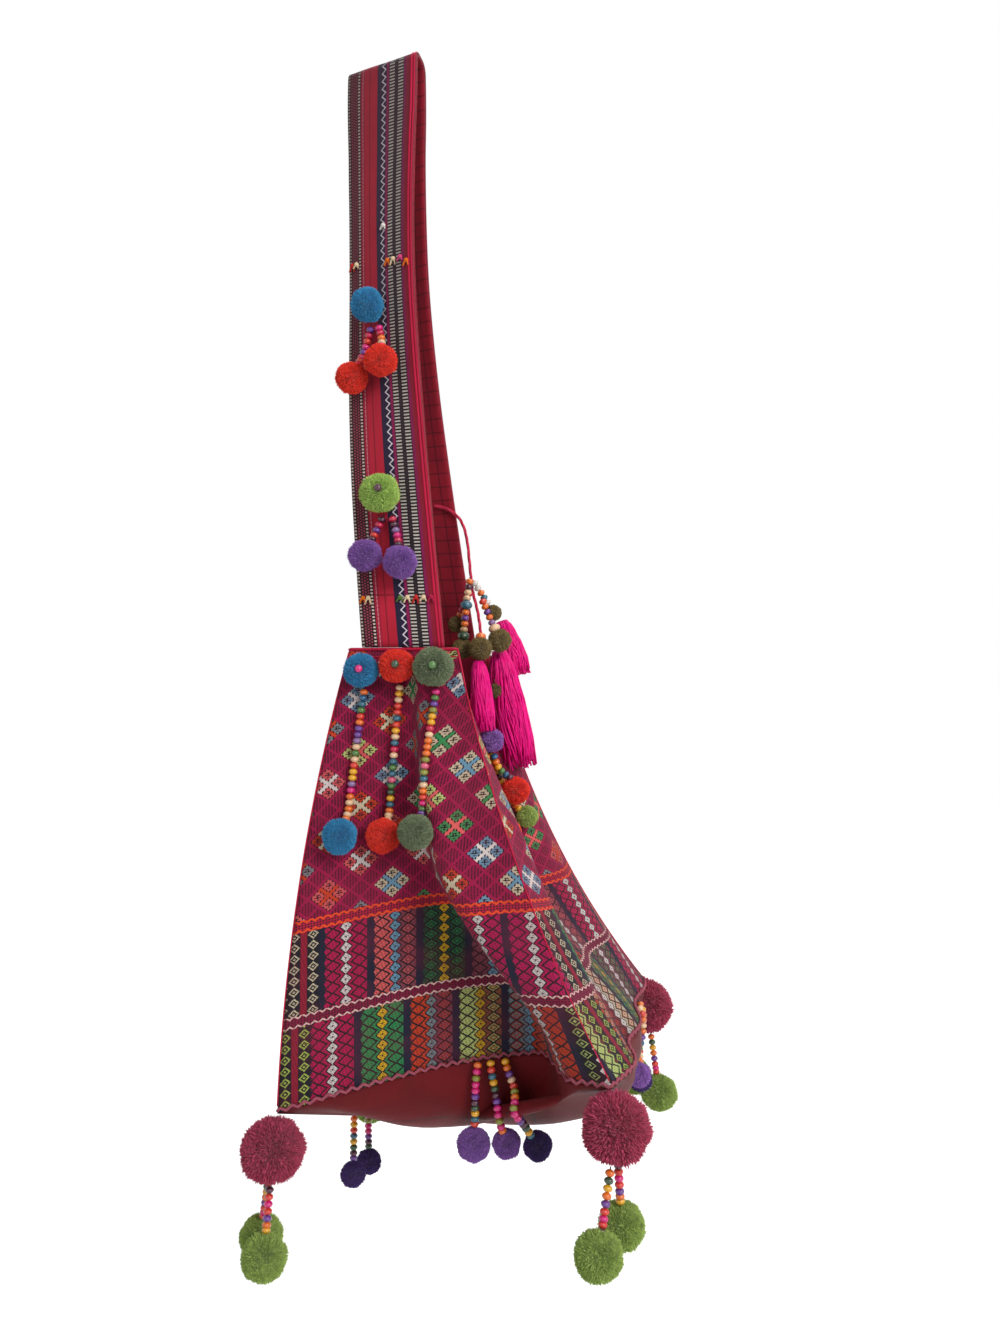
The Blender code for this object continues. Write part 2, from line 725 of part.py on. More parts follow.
def smooth_route(points, steps):
    """Points of a smooth curve through the given ones."""
    made = []
    last = len(points) - 1
    for index in range(last):
        a, b, c, d = (points[min(max(index + k, 0), last)] for k in (-1, 0, 1, 2))
        for step in range(steps):
            t = step / steps
            made.append(0.5 * (2 * b + (c - a) * t + (2 * a - 5 * b + 4 * c - d) * t * t
                               + (3 * b - a - 3 * c + d) * t ** 3))
    made.append(points[-1])
    return made


def tie_cluster(tree):
    """What hangs from the tie cord: three olive pompoms, strings of beads and silk tassels."""
    middle = TIE_ROUTE[-1] + TIE_MIDDLE - Vector((0, 0, CORD_DIAMETER / 2 + REST_GAP + TIE_POMPOM))
    pompom("tie_middle_pompom", middle, TIE_POMPOM, "olive")
    top = middle - Vector((0, 0, TIE_POMPOM + REST_GAP))
    fall, width = MIDDLE_TASSEL
    tassel("tie_middle_tassel", top, top + fall, width, "magenta")
    for hand, radius, points in TIE_STRINGS:
        route = [RIM_CENTRE + Vector(point) for point in points]
        pendant(f"tie_{hand}_pendant", route, radius, "olive")
    for hand, head, foot, radius in SIDE_TASSELS:
        low = clear_of(tree, RIM_CENTRE + foot, Vector((0, -1, 0)), radius)
        tassel(f"tie_{hand}_tassel", RIM_CENTRE + head, low, radius, "magenta")


def main():
    clear_scene()
    strap_layer("strap_band", BAND_THICKNESS, 0, "strap")
    inset = BAND_THICKNESS / 2 + GAP + LINING_THICKNESS / 2
    strap_layer("strap_lining", LINING_THICKNESS, inset, "lining")
    rows = [body_row(step / BODY_ROWS) for step in range(BODY_ROWS + 1)]
    body = cloth_shell("brocade_body", rows, [0] * len(rows), "brocade")
    leans = [step / BASE_ROWS for step in range(BASE_ROWS)]
    base_rows = [base_row(lean) for lean in leans]
    base = cloth_shell("base_cloth", base_rows, leans, "base_red", BASE_LOW_POINT)
    tree = surface_tree([body, base])
    strap_clusters()
    end_sets(tree)
    corner_sets()
    hem_sets(tree)
    front_set(tree)
    tie_cord()
    tie_cluster(tree)


main()
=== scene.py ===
# %% [markdown]
# # A brocade shoulder bag with pompoms, bead strings and tassels
# The bag hangs by its strap from a peg. Its moving frame comes from the CAD model, so every piece
# below is made in place, in metres, and rides on one of the frame's bodies.

# %% The frame
import math
import random

import bmesh
import bpy
import numpy as np
from mathutils import Matrix, Vector, noise


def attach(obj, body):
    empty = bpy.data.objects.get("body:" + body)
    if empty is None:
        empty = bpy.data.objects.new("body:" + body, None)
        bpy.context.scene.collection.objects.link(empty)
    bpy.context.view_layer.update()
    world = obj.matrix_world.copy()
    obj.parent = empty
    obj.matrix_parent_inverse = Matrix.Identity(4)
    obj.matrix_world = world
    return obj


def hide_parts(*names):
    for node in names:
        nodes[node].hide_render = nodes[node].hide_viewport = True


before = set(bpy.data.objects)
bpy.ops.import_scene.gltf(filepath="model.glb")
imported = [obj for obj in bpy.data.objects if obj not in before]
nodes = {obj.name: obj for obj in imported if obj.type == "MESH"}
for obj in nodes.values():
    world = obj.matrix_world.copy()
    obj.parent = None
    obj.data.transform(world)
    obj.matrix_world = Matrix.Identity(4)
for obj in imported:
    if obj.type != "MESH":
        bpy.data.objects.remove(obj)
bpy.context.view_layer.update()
scene = bpy.context.scene

# %% [markdown]
# The camera stands level, at the height of the strap's ends, and looks at the narrow end of the bag
# from 13 degrees to its left.

# %% Camera
CAMERA_PLACE, CAMERA_TURN = (-0.9016, -0.318, -0.56), math.radians(-77)
CAMERA_LENS, CAMERA_SENSOR = 27.2, 36  # in millimetres
camera = bpy.data.objects.new("camera", bpy.data.cameras.new("camera"))
camera.location = CAMERA_PLACE
camera.rotation_euler = (math.radians(90), 0, CAMERA_TURN)
camera.data.lens, camera.data.sensor_width = CAMERA_LENS, CAMERA_SENSOR
scene.collection.objects.link(camera)
scene.camera = camera

# %% [markdown]
# Helpers. A colour is written as it looks on screen and turned into linear light. `add_node` is the
# one way to make a shader node, and `work_out` makes a table of formulas into math nodes. Four short
# words stand for common chains: AWAY is the distance from a line, WITHIN is 1 on a line of a given
# half width, CYCLE is the share of the way through a repeat, and TEETH is a zigzag of a given pitch.


# %% Helpers for materials
def linear(text):
    """A hex colour as linear red, green, blue and alpha."""
    parts = [int(text[i:i + 2], 16) / 255 for i in (1, 3, 5)]
    return (*(c / 12.92 if c <= 0.04045 else ((c + 0.055) / 1.055) ** 2.4 for c in parts), 1)


def add_node(tree, kind, inputs=None, **settings):
    """One shader node: its settings, then each input as a value or as a link from another node."""
    node = tree.nodes.new(kind)
    for key, value in settings.items():
        setattr(node, key, value)
    for key, value in (inputs or {}).items():
        if isinstance(value, bpy.types.NodeSocket):
            tree.links.new(value, node.inputs[key])
        else:
            node.inputs[key].default_value = value
    return node


SHORTHANDS = {  # chains of operations on the first input; None stands for the next input
    "AWAY": (("SUBTRACT", None), ("ABSOLUTE",)),
    "WITHIN": (("SUBTRACT", None), ("ABSOLUTE",), ("LESS_THAN", None)),
    "CYCLE": (("DIVIDE", None), ("FRACT",)),
    "TEETH": (("DIVIDE", None), ("FRACT",), ("SUBTRACT", 0.5), ("ABSOLUTE",)),
}


def work_out(tree, known, lines):
    """Nodes from lines of (result, operation, inputs): an input is a number or an earlier result.

    PAINT lays a colour over the result so far, where a mask says so.
    """
    for result, operation, *inputs in lines:
        values = [known[x] if isinstance(x, str) and x in known else x for x in inputs]
        if operation in ("MIX", "PAINT"):
            if operation == "PAINT":
                values.insert(1, known[result])
            values = [linear(x) if isinstance(x, str) else x for x in values]
            node = add_node(tree, "ShaderNodeMix", dict(zip((0, 6, 7), values)), data_type="RGBA")
            known[result] = node.outputs[2]
            continue
        value, *rest = values
        for step, *more in SHORTHANDS.get(operation, ((operation, *[None] * len(rest)),)):
            terms = [value, *(rest.pop(0) if x is None else x for x in more)]
            value = add_node(tree, "ShaderNodeMath", dict(enumerate(terms)), operation=step).outputs[0]
        known[result] = value
    return known


def new_material(name, roughness, **sockets):
    """A material with its Principled shader's plain numbers set."""
    made = bpy.data.materials.new(name)
    made.use_nodes = True
    shader = made.node_tree.nodes["Principled BSDF"]
    shader.inputs["Roughness"].default_value = roughness
    for key, value in sockets.items():
        shader.inputs[key.replace("_", " ")].default_value = value
    return made, made.node_tree, shader


def steps_ramp(tree, factor, steps):
    """Steps of colour picked by a factor from 0 to 1: where each step starts, and its hex colour."""
    node = add_node(tree, "ShaderNodeValToRGB", {"Fac": factor})
    ramp = node.color_ramp
    ramp.interpolation = "CONSTANT"
    for index, (start, colour) in enumerate(steps):
        stop = ramp.elements[index] if index < 2 else ramp.elements.new(0.99)
        stop.position = start
        stop.color = linear(colour)
    return node.outputs["Color"]


def finish_cloth(tree, shader, colour, height, depth):
    """Links a cloth's colour, and its weave as a bump of that depth in metres."""
    bump = add_node(tree, "ShaderNodeBump", {"Height": height, "Distance": depth, "Strength": 0.9})
    tree.links.new(colour, shader.inputs["Base Color"])
    tree.links.new(bump.outputs["Normal"], shader.inputs["Normal"])


def cloth_place(tree):
    """A point's place in the cloth's own map, in metres."""
    return add_node(tree, "ShaderNodeUVMap", uv_map="cloth").outputs["UV"]


def cloth_millimetres(tree):
    """Distance across and along the cloth in millimetres, from its own map."""
    parts = add_node(tree, "ShaderNodeSeparateXYZ", {0: cloth_place(tree)}).outputs
    return work_out(tree, {}, [("x", "MULTIPLY", parts["X"], 1000), ("y", "MULTIPLY", parts["Y"], 1000)])


def cloth_noise(tree, scale, detail, distortion=0.0):
    """Soft noise over the cloth, from 0 to 1."""
    return add_node(tree, "ShaderNodeTexNoise", {"Vector": cloth_place(tree), "Scale": scale,
                                                 "Detail": detail, "Distortion": distortion}).outputs["Fac"]


def ribs(pitch_x, pitch_y):
    """Formulas for the ribs of a weave, from -1 to 1: a wave across times a wave along."""
    lines = []
    for axis, pitch in (("x", pitch_x), ("y", pitch_y)):
        rib = f"rib_{axis}"
        lines += [(rib, "MULTIPLY", axis, 2 * math.pi / pitch), (rib, "SINE", rib)]
    return [*lines, ("ribs", "MULTIPLY", "rib_x", "rib_y")]


# %% [markdown]
# The brocade is woven in three zones. From the hem up: two rows of vertical stripes with chains of
# small diamonds, parted by a maroon band, then an orange border, and above it a crimson ground with
# larger motifs of four diamonds round a cross. `x` runs across a panel and `y` up from the hem, both
# in millimetres. Each panel has eight stripe units of 43.5 mm.

# %% Brocade material
DYES = {
    "c": "#C0124F", "m": "#C4105A", "n": "#1B1B33", "w": "#E6DAD6", "s": "#E0605E", "b": "#6E9BB5",
    "p": "#8E4452", "d": "#1F4A2E", "g": "#2E8B4F", "y": "#E0B020", "o": "#D0401C", "l": "#C8D880",
    "k": "#17131C", "e": "#D8C8A8", "r": "#8A1C2C", "v": "#5A2A50", "u": "#7C8A8E", "h": "#9A5A3A",
}
UNIT = 43.5
UNITS_PER_PANEL = 8
ROW_TWO_TOP, ROW_ONE_FOOT, ROW_ONE_TOP, BORDER_TOP = 67, 77, 147, 158
ROW_ONE_SHIFT, ROW_TWO_SHIFT = -6.0, 5.5
DIAMOND_PITCH = 9.3
NAVY_WIDTH, NAVY_TOOTH = 7.6, 3.4
CHAIN_MIDDLE, CHAIN_HALF = 25, 4.9
COLUMN_AWAY, COLUMN_HALF = 11.6, 6.4  # open diamonds: how far from the chain, and their half width
FIRST_MIDDLE, FIRST_HALF = 74.3, 13.3  # each panel's first unit
PAIR_AWAY, PAIR_HALF = 8.05, 5.25  # its two chains, on both sides of the middle
NET_WIDTH, NET_HEIGHT, NET_REPEAT = 18.67, 16.67, 3  # cells of the upper ground, and cells to a repeat
STRIPES = {  # left ground, right ground, chain and open figure of each unit, one letter a dye
    "one": ("kcsdpcmk" "mgopcsmk" "cdspkmgc" "scmkpdgo", "kcpdpmmk" "cgopcpmk" "cdppkmgc" "pcmkpdgo",
            "rwbybwww" "wyswwbwe" "wybwewyw" "bwewwyyw", "ecsgpcmw" "mgpscsme" "cgspemgc" "scmepggo"),
    "two": ("kcgoluok" "lorgpckl" "cgokdosc" "gkcospld", "kcgphook" "loegpckl" "cgokdopc" "gkcoppld",
            "rwyuybww" "rwwywwre" "wywrywbw" "yrwwbwry", "lcgolool" "leopgcll" "cgoldosc" "glcosplg"),
}


def dye_steps(tree, factor, letters):
    """Equal steps of the dyes that the letters stand for."""
    return steps_ramp(tree, factor, [(i / len(letters), DYES[c]) for i, c in enumerate(letters)])


def brocade_material():
    made, tree, shader = new_material("woven brocade", 0.82, Sheen_Weight=0.06, Sheen_Roughness=0.45,
                                      Specular_IOR_Level=0.25)
    known = cloth_millimetres(tree)
    work_out(tree, known, [
        ("in_one", "GREATER_THAN", "y", ROW_ONE_FOOT - 4),
        ("shift", "MULTIPLY_ADD", "in_one", ROW_ONE_SHIFT - ROW_TWO_SHIFT, ROW_TWO_SHIFT),
        ("xs", "ADD", "x", "shift"), ("units", "DIVIDE", "xs", UNIT), ("unit", "FLOOR", "units"),
        ("fraction", "SUBTRACT", "units", "unit"), ("local", "MULTIPLY", "fraction", UNIT),
        ("pick", "SUBTRACT", "unit", 0.5), ("pick", "DIVIDE", "pick", 4 * UNITS_PER_PANEL),
        # zigzag edges of the navy separators, and the diamonds' own phase
        ("cell", "DIVIDE", "y", DIAMOND_PITCH), ("phase", "FRACT", "cell"),
        ("phase", "AWAY", "phase", 0.5), ("phase", "MULTIPLY", "phase", 2),
        ("teeth", "TEETH", "y", DIAMOND_PITCH / 2),
        ("edge", "MULTIPLY_ADD", "teeth", NAVY_TOOTH, "local"),
        ("navy", "LESS_THAN", "edge", NAVY_WIDTH), ("right_side", "GREATER_THAN", "local", CHAIN_MIDDLE),
        # chain of solid diamonds in the middle of the unit
        ("from_chain", "AWAY", "local", CHAIN_MIDDLE), ("chain", "DIVIDE", "from_chain", CHAIN_HALF),
        ("chain", "ADD", "chain", "phase"), ("in_chain", "LESS_THAN", "chain", 0.98),
        ("chain_ring", "LESS_THAN", "chain", 1.28), ("heart", "LESS_THAN", "chain", 0.22),
        # open diamonds in the colour columns on both sides of it
        ("column", "AWAY", "from_chain", COLUMN_AWAY), ("open", "DIVIDE", "column", COLUMN_HALF),
        ("half_on", "SUBTRACT", 1.0, "phase"), ("open", "ADD", "open", "half_on"),
        ("ring", "WITHIN", "open", 0.78, 0.14), ("core", "LESS_THAN", "open", 0.30),
        ("figure", "MAXIMUM", "ring", "core"), ("outline", "WITHIN", "open", 1.06, 0.18),
        # each panel's first unit: two chains of open diamonds on black, with a red line between
        ("panel", "DIVIDE", "x", UNITS_PER_PANEL * UNIT), ("panel", "FLOOR", "panel"),
        ("inset", "MULTIPLY_ADD", "panel", -UNITS_PER_PANEL * UNIT, "x"),
        ("inset", "MULTIPLY_ADD", "in_one", -7, "inset"), ("inset", "AWAY", "inset", FIRST_MIDDLE),
        ("first", "LESS_THAN", "inset", FIRST_HALF), ("red_line", "LESS_THAN", "inset", 2.8),
        ("pair", "AWAY", "inset", PAIR_AWAY), ("pair", "DIVIDE", "pair", PAIR_HALF),
        ("pair", "ADD", "pair", "phase"), ("pair_eye", "LESS_THAN", "pair", 0.26),
        ("pair", "WITHIN", "pair", 0.74, 0.17), ("pair", "MAXIMUM", "pair", "pair_eye"),
    ])
    titles = ("left", "right", "chain_dye", "figure_dye")
    for row, (left, right, chain, figure) in STRIPES.items():
        for title, letters in zip(titles, (left, right, chain, figure)):
            known[f"{title}_{row}"] = dye_steps(tree, known["pick"], letters)
    work_out(tree, known, [(title, "MIX", "in_one", f"{title}_two", f"{title}_one") for title in titles])
    work_out(tree, known, [
        ("ground", "MIX", "right_side", "left", "right"), ("tint", "MULTIPLY", "figure", 0.75),
        ("striped", "MIX", "tint", "ground", "figure_dye"), ("striped", "PAINT", "outline", "#1A1016"),
        ("striped", "PAINT", "chain_ring", "#24101C"), ("striped", "PAINT", "in_chain", "chain_dye"),
        ("striped", "PAINT", "heart", "#24101C"), ("striped", "PAINT", "navy", DYES["n"]),
        ("pair_dye", "MIX", "in_one", "#B4C85A", "#D8C8A8"),
        ("edging", "MIX", "pair", "#17131C", "pair_dye"), ("edging", "PAINT", "red_line", "#A01834"),
        ("striped", "PAINT", "first", "edging"),
        # the upper ground: a slanted net, three cells to a repeat, motifs two cells wide
        ("ax", "DIVIDE", "x", NET_WIDTH), ("ay", "DIVIDE", "y", NET_HEIGHT),
        ("ay4", "MULTIPLY", "ay", 8), ("a", "ADD", "ax", "ay"), ("b", "SUBTRACT", "ax", "ay"),
        ("block_a", "DIVIDE", "a", NET_REPEAT), ("block_b", "DIVIDE", "b", NET_REPEAT),
        ("block_a", "FLOOR", "block_a"), ("block_b", "FLOOR", "block_b"),
        ("in_a", "MULTIPLY_ADD", "block_a", -NET_REPEAT, "a"),
        ("in_b", "MULTIPLY_ADD", "block_b", -NET_REPEAT, "b"), ("first_a", "LESS_THAN", "in_a", 2),
        ("first_b", "LESS_THAN", "in_b", 2), ("motif", "MULTIPLY", "first_a", "first_b"),
        ("fa", "FRACT", "a"), ("fa", "AWAY", "fa", 0.5), ("fb", "FRACT", "b"), ("fb", "AWAY", "fb", 0.5),
        ("far", "MAXIMUM", "fa", "fb"), ("net", "GREATER_THAN", "far", 0.45),
        ("inside", "LESS_THAN", "far", 0.36), ("rim", "WITHIN", "far", 0.35, 0.055),
        ("echo", "WITHIN", "far", 0.21, 0.05), ("eye", "LESS_THAN", "far", 0.12),
        ("dash", "CYCLE", "x", 2.6), ("dash", "GREATER_THAN", "dash", 0.42),
        ("dash_up", "CYCLE", "y", 2.2), ("dash_up", "GREATER_THAN", "dash_up", 0.42),
        ("dashes", "MULTIPLY", "dash", "dash_up"), ("rim_dash", "MULTIPLY", "rim", "dash"),
        ("eye_dash", "MULTIPLY", "eye", "dash"), ("cross_a", "AWAY", "in_a", 1),
        ("cross_b", "AWAY", "in_b", 1), ("cross", "MINIMUM", "cross_a", "cross_b"),
        ("cross", "LESS_THAN", "cross", 0.17), ("reach", "MAXIMUM", "cross_a", "cross_b"),
        ("reach", "LESS_THAN", "reach", 0.86), ("motif", "MULTIPLY", "motif", "reach"),
    ])
    spot = add_node(tree, "ShaderNodeCombineXYZ", {0: known["block_a"], 1: known["block_b"]}).outputs[0]
    chance = add_node(tree, "ShaderNodeTexWhiteNoise", {"Vector": spot}, noise_dimensions="2D")
    known["diamond_dye"] = dye_steps(tree, chance.outputs["Value"], "eosgulsbe")
    known["cross_dye"] = dye_steps(tree, chance.outputs["Value"], "bewsosowg")
    weave = cloth_noise(tree, 26, 3)
    work_out(tree, known, [
        ("net_tint", "MULTIPLY", "net", 0.4), ("upper", "MIX", "net_tint", "#9C0C42", "#A81A4C"),
        ("rings", "MAXIMUM", "rim", "echo"), ("rings", "MAXIMUM", "rings", "eye"),
        ("rings", "MULTIPLY", "rings", "dash"), ("rings", "MULTIPLY", "rings", 0.82),
        ("ground_dash", "MULTIPLY", "inside", "dashes"), ("ground_dash", "MULTIPLY", "ground_dash", 0.6),
        ("ground_dash", "MAXIMUM", "ground_dash", "rings"), ("upper", "PAINT", "ground_dash", "#220A1A"),
        ("petal", "MULTIPLY", "motif", "inside"), ("petal", "MULTIPLY", "petal", 0.86),
        ("upper", "PAINT", "petal", "diamond_dye"), ("cross", "MULTIPLY", "cross", "motif"),
        ("upper", "PAINT", "cross", "cross_dye"), ("heart", "LESS_THAN", "far", 0.2),
        ("fine", "FRACT", "ay4"), ("fine", "GREATER_THAN", "fine", 0.6),
        ("heart", "MULTIPLY", "heart", "fine"), ("rim_dash", "MAXIMUM", "rim_dash", "heart"),
        ("rim_dash", "MULTIPLY", "rim_dash", "motif"), ("upper", "PAINT", "rim_dash", "#15101A"),
        ("eye_dash", "MULTIPLY", "eye_dash", "motif"), ("upper", "PAINT", "eye_dash", "#15101A"),
        # the two bands: maroon with pale toothed edges, orange with black teeth
        ("wave", "TEETH", "x", 7.0), ("wave", "MULTIPLY", "wave", 5.0),
        ("band_y", "AWAY", "y", (ROW_TWO_TOP + ROW_ONE_FOOT) / 2), ("band_in", "LESS_THAN", "band_y", 5),
        ("band_rim", "ADD", "band_y", "wave"), ("band_rim", "WITHIN", "band_rim", 5.4, 0.75),
        ("band", "MIX", "dashes", "#7A1436", "#240A18"), ("band", "PAINT", "band_rim", "#D8B4AC"),
        ("edge_y", "AWAY", "y", (ROW_ONE_TOP + BORDER_TOP) / 2), ("edge_in", "LESS_THAN", "edge_y", 5.5),
        ("edge_rim", "ADD", "edge_y", "wave"), ("edge_rim", "WITHIN", "edge_rim", 5.4, 1.1),
        ("border", "MIX", "dashes", "#A81838", "#240A18"), ("border", "PAINT", "edge_rim", "#E0481E"),
        # black weft between the coloured stripes
        ("fine", "CYCLE", "y", 1.55), ("fine", "LESS_THAN", "fine", 0.42), ("skip", "DIVIDE", "x", 3.1),
        ("skip", "ADD", "skip", "cell"), ("skip", "FRACT", "skip"), ("skip", "LESS_THAN", "skip", 0.55),
        ("weft", "MULTIPLY", "fine", "skip"), ("weft", "MULTIPLY", "weft", 0.7),
        ("striped", "PAINT", "weft", "#12101C"), ("striped", "PAINT", 0.26, "#100C14"),
        ("upper", "PAINT", 0.12, "#100C14"), ("is_upper", "GREATER_THAN", "y", BORDER_TOP),
        ("colour", "MIX", "is_upper", "striped", "upper"), ("colour", "PAINT", "band_in", "band"),
        # the border, then worn patches of a duller tone from a soft noise
        ("colour", "PAINT", "edge_in", "border"), ("worn", "SUBTRACT", weave, 0.42),
        ("worn", "MULTIPLY", "worn", 0.9), ("worn", "MAXIMUM", "worn", 0),
        ("colour", "PAINT", "worn", "#7A2038"), *ribs(1.6, 1.55),
        ("ribs", "MULTIPLY_ADD", "ribs", 0.35, 0.5), ("raised", "MULTIPLY_ADD", "motif", 0.4, "ribs"),
        ("raised", "MULTIPLY_ADD", "figure", 0.3, "raised"),
    ])
    finish_cloth(tree, shader, known["colour"], known["raised"], 0.0006)
    return made


# %% [markdown]
# The strap's outer face is sewn from strips. `x` runs 76 mm across from its left edge, seen from
# outside, and `y` along it. Rows of dots, two ladders of pale rungs, a zigzag stitch and the double
# piping at the right edge follow the photograph. It is darker towards the crown, with soft blots.

# %% Strap and plain cloth materials
STRAP_WIDTH = 0.076
STRAP_MIDDLE, SEAM_HEIGHT, RED_STRIP_MIDDLE = 565, 42, 25.5
ZIGZAG_PITCH, ZIGZAG_LEFT, ZIGZAG_WIDTH = 7.4, 39.5, 8.0
STRAP_STRIPS = (  # where each strip starts, and its colour
    (0, "#2A0E1A"), (15, "#B01E3A"), (20, "#C8203A"), (34, "#1E1A38"),
    (44.5, "#3A0E30"), (47, "#1A141E"), (63.5, "#3A0E30"), (66.5, "#981832"),
)
STRAP_MARKS = (  # of each row of marks: middle and half width across, pitch and share along, shift, colour
    (1.6, 1.1, 3.1, 0.5, 0.0, "#EAD2C4"), (5.0, 0.8, 2.6, 0.5, 0.5, "#B44858"),
    (7.6, 0.8, 2.6, 0.5, 0.0, "#B44858"), (10.2, 0.8, 2.6, 0.5, 0.5, "#B44858"),
    (13.2, 1.1, 3.1, 0.5, 0.5, "#EAD2C4"), (45.2, 0.8, 1.8, 0.5, 0.0, "#C81E6E"),
    (46.6, 0.7, 1.8, 0.5, 0.5, "#C81E6E"), (50.6, 2.8, 3.05, 0.45, 0.0, "#DCD4C8"),
    (60.2, 2.8, 3.05, 0.45, 0.3, "#DCD4C8"), (64.4, 0.7, 1.8, 0.5, 0.0, "#C81E6E"),
    (65.8, 0.7, 1.8, 0.5, 0.5, "#C81E6E"), (17.6, 0.45, 4.0, 0.8, 0.0, "#E88C9A"),
    (55.4, 1.2, 1.9, 0.35, 0.0, "#3A3434"),
)


def strap_material():
    made, tree, shader = new_material("woven strap", 0.8, Sheen_Weight=0.05, Specular_IOR_Level=0.25)
    known = cloth_millimetres(tree)
    work_out(tree, known, [("share", "DIVIDE", "x", STRAP_WIDTH * 1000)])
    known["colour"] = steps_ramp(tree, known["share"], [(start / (STRAP_WIDTH * 1000), colour)
                                                        for start, colour in STRAP_STRIPS])
    known["marked"] = 0.0
    for middle, half, pitch, share, shift, colour in STRAP_MARKS:
        work_out(tree, known, [
            ("off", "WITHIN", "x", middle, half), ("on", "MULTIPLY_ADD", "y", 1 / pitch, shift),
            ("on", "FRACT", "on"), ("on", "LESS_THAN", "on", share), ("on", "MULTIPLY", "on", "off"),
            ("colour", "PAINT", "on", colour), ("marked", "MAXIMUM", "marked", "on"),
        ])
    work_out(tree, known, [
        # the white zigzag stitch on the navy strip
        ("saw", "TEETH", "y", ZIGZAG_PITCH), ("saw", "MULTIPLY_ADD", "saw", ZIGZAG_WIDTH, ZIGZAG_LEFT),
        ("saw", "WITHIN", "x", "saw", 0.75), ("colour", "PAINT", "saw", "#F4ECF4"),
        ("marked", "MAXIMUM", "marked", "saw"), *ribs(1.1, 1.1),
        ("ribs", "MULTIPLY_ADD", "ribs", 0.3, 0.4), ("ribs", "MULTIPLY_ADD", "marked", 0.6, "ribs"),
    ])
    age = cloth_noise(tree, 40, 4)
    work_out(tree, known, [
        # the part near the crown is darker, with soft blots, and a seam crosses the red strip near each end
        ("from_end", "AWAY", "y", STRAP_MIDDLE), ("from_end", "SUBTRACT", STRAP_MIDDLE - 5, "from_end"),
        ("worn", "DIVIDE", "from_end", 900), ("worn", "MAXIMUM", "worn", 0),
        ("age", "MULTIPLY_ADD", age, 0.3, "worn"), ("age", "MULTIPLY", "age", 0.75),
        ("colour", "PAINT", "age", "#300E1A"), ("seam", "WITHIN", "from_end", SEAM_HEIGHT, 0.7),
        ("middle", "AWAY", "x", RED_STRIP_MIDDLE), ("red_strip", "LESS_THAN", "middle", 10),
        ("seam", "MULTIPLY", "seam", "red_strip"), ("middle", "LESS_THAN", "middle", 0.6),
        ("seam", "MAXIMUM", "seam", "middle"), ("seam", "MULTIPLY", "seam", 0.6),
        ("colour", "PAINT", "seam", "#4A0A18"),
    ])
    finish_cloth(tree, shader, known["colour"], known["ribs"], 0.0005)
    return made


def plain_cloth(name, colour, shade, roughness, quilt=0.0, stitches=0.0):
    """Plain woven cotton with soft creases and painted shade along them; quilt is the pitch of a sewn net
    in millimetres.
    """
    made, tree, shader = new_material(name, roughness, Sheen_Weight=0.03, Specular_IOR_Level=0.15)
    known = cloth_millimetres(tree)
    crease = cloth_noise(tree, 18, 4, distortion=0.6)
    work_out(tree, known, [
        *ribs(0.9, 0.9), ("ribs", "MULTIPLY", "ribs", 0.05), ("height", "ADD", crease, "ribs"),
        # painted shade: the colour is mixed towards the shade colour with the crease noise
        ("blot", "MULTIPLY", crease, 0.9), ("colour", "MIX", "blot", colour, shade),
    ])
    if quilt:
        for axis in "xy":
            work_out(tree, known, [
                ("line", "TEETH", axis, quilt), ("line", "GREATER_THAN", "line", 0.5 - 0.6 / quilt),
                ("line", "MULTIPLY", "line", 0.6), ("height", "SUBTRACT", "height", "line"),
                ("colour", "PAINT", "line", "#3A0A14"),
            ])
    if stitches:
        work_out(tree, known, [
            ("line", "WITHIN", "y", stitches, 0.9), ("dots", "CYCLE", "x", 4.0),
            ("dots", "LESS_THAN", "dots", 0.6), ("line", "MULTIPLY", "line", "dots"),
            ("colour", "PAINT", "line", "#1C1018"),
        ])
    finish_cloth(tree, shader, known["colour"], known["height"], 0.0015)
    return made


# %% [markdown]
# Yarn, beads and silk read their colour from the `dye` attribute of their own mesh, so that one
# material serves all of them. On the yarn balls the attribute also holds painted shade, darker at the
# roots of the tufts.

# %% Yarn, bead, thread and silk materials
def dyed_material(name, roughness, grain, depth, shade=0.25, **sockets):
    """A material dyed by the mesh, with a fine darker grain of that scale per metre."""
    made, tree, shader = new_material(name, roughness, **sockets)
    dye = add_node(tree, "ShaderNodeAttribute", attribute_name="dye").outputs["Color"]
    place = add_node(tree, "ShaderNodeTexCoord").outputs["Object"]
    fine = add_node(tree, "ShaderNodeTexNoise", {"Vector": place, "Scale": grain, "Detail": 3})
    known = work_out(tree, {"dye": dye}, [("dark", "MULTIPLY", fine.outputs["Fac"], shade),
                                          ("colour", "MIX", "dark", "dye", "#1A0E10")])
    finish_cloth(tree, shader, known["colour"], fine.outputs["Fac"], depth)
    return made


materials = {
    "brocade": brocade_material(),
    "strap": strap_material(),
    "inside": plain_cloth("inside cotton", "#981838", "#621024", 0.85),
    "base": plain_cloth("red cotton", "#760A13", "#34050A", 0.55, stitches=60),
    "lining": plain_cloth("quilted lining", "#981A2C", "#641020", 0.75, quilt=13.0),
    "piping": plain_cloth("crimson piping", "#D01E48", "#9A1632", 0.7),
    "overlock": plain_cloth("overlock thread", "#A85868", "#7E3846", 0.8),
    "yarn": dyed_material("cut wool yarn", 0.95, 900, 0.0003, Sheen_Weight=0.12, Sheen_Roughness=0.5,
                          Specular_IOR_Level=0.1),
    "wood": dyed_material("painted wood beads", 0.34, 300, 0.00004, IOR=1.5, Coat_Weight=0.25),
    "thread": dyed_material("cotton thread", 0.85, 1500, 0.0001),
    "silk": dyed_material("silk strands", 0.5, 700, 0.0001, 0.1, Specular_IOR_Level=0.2),
}
print(len(materials), "materials")
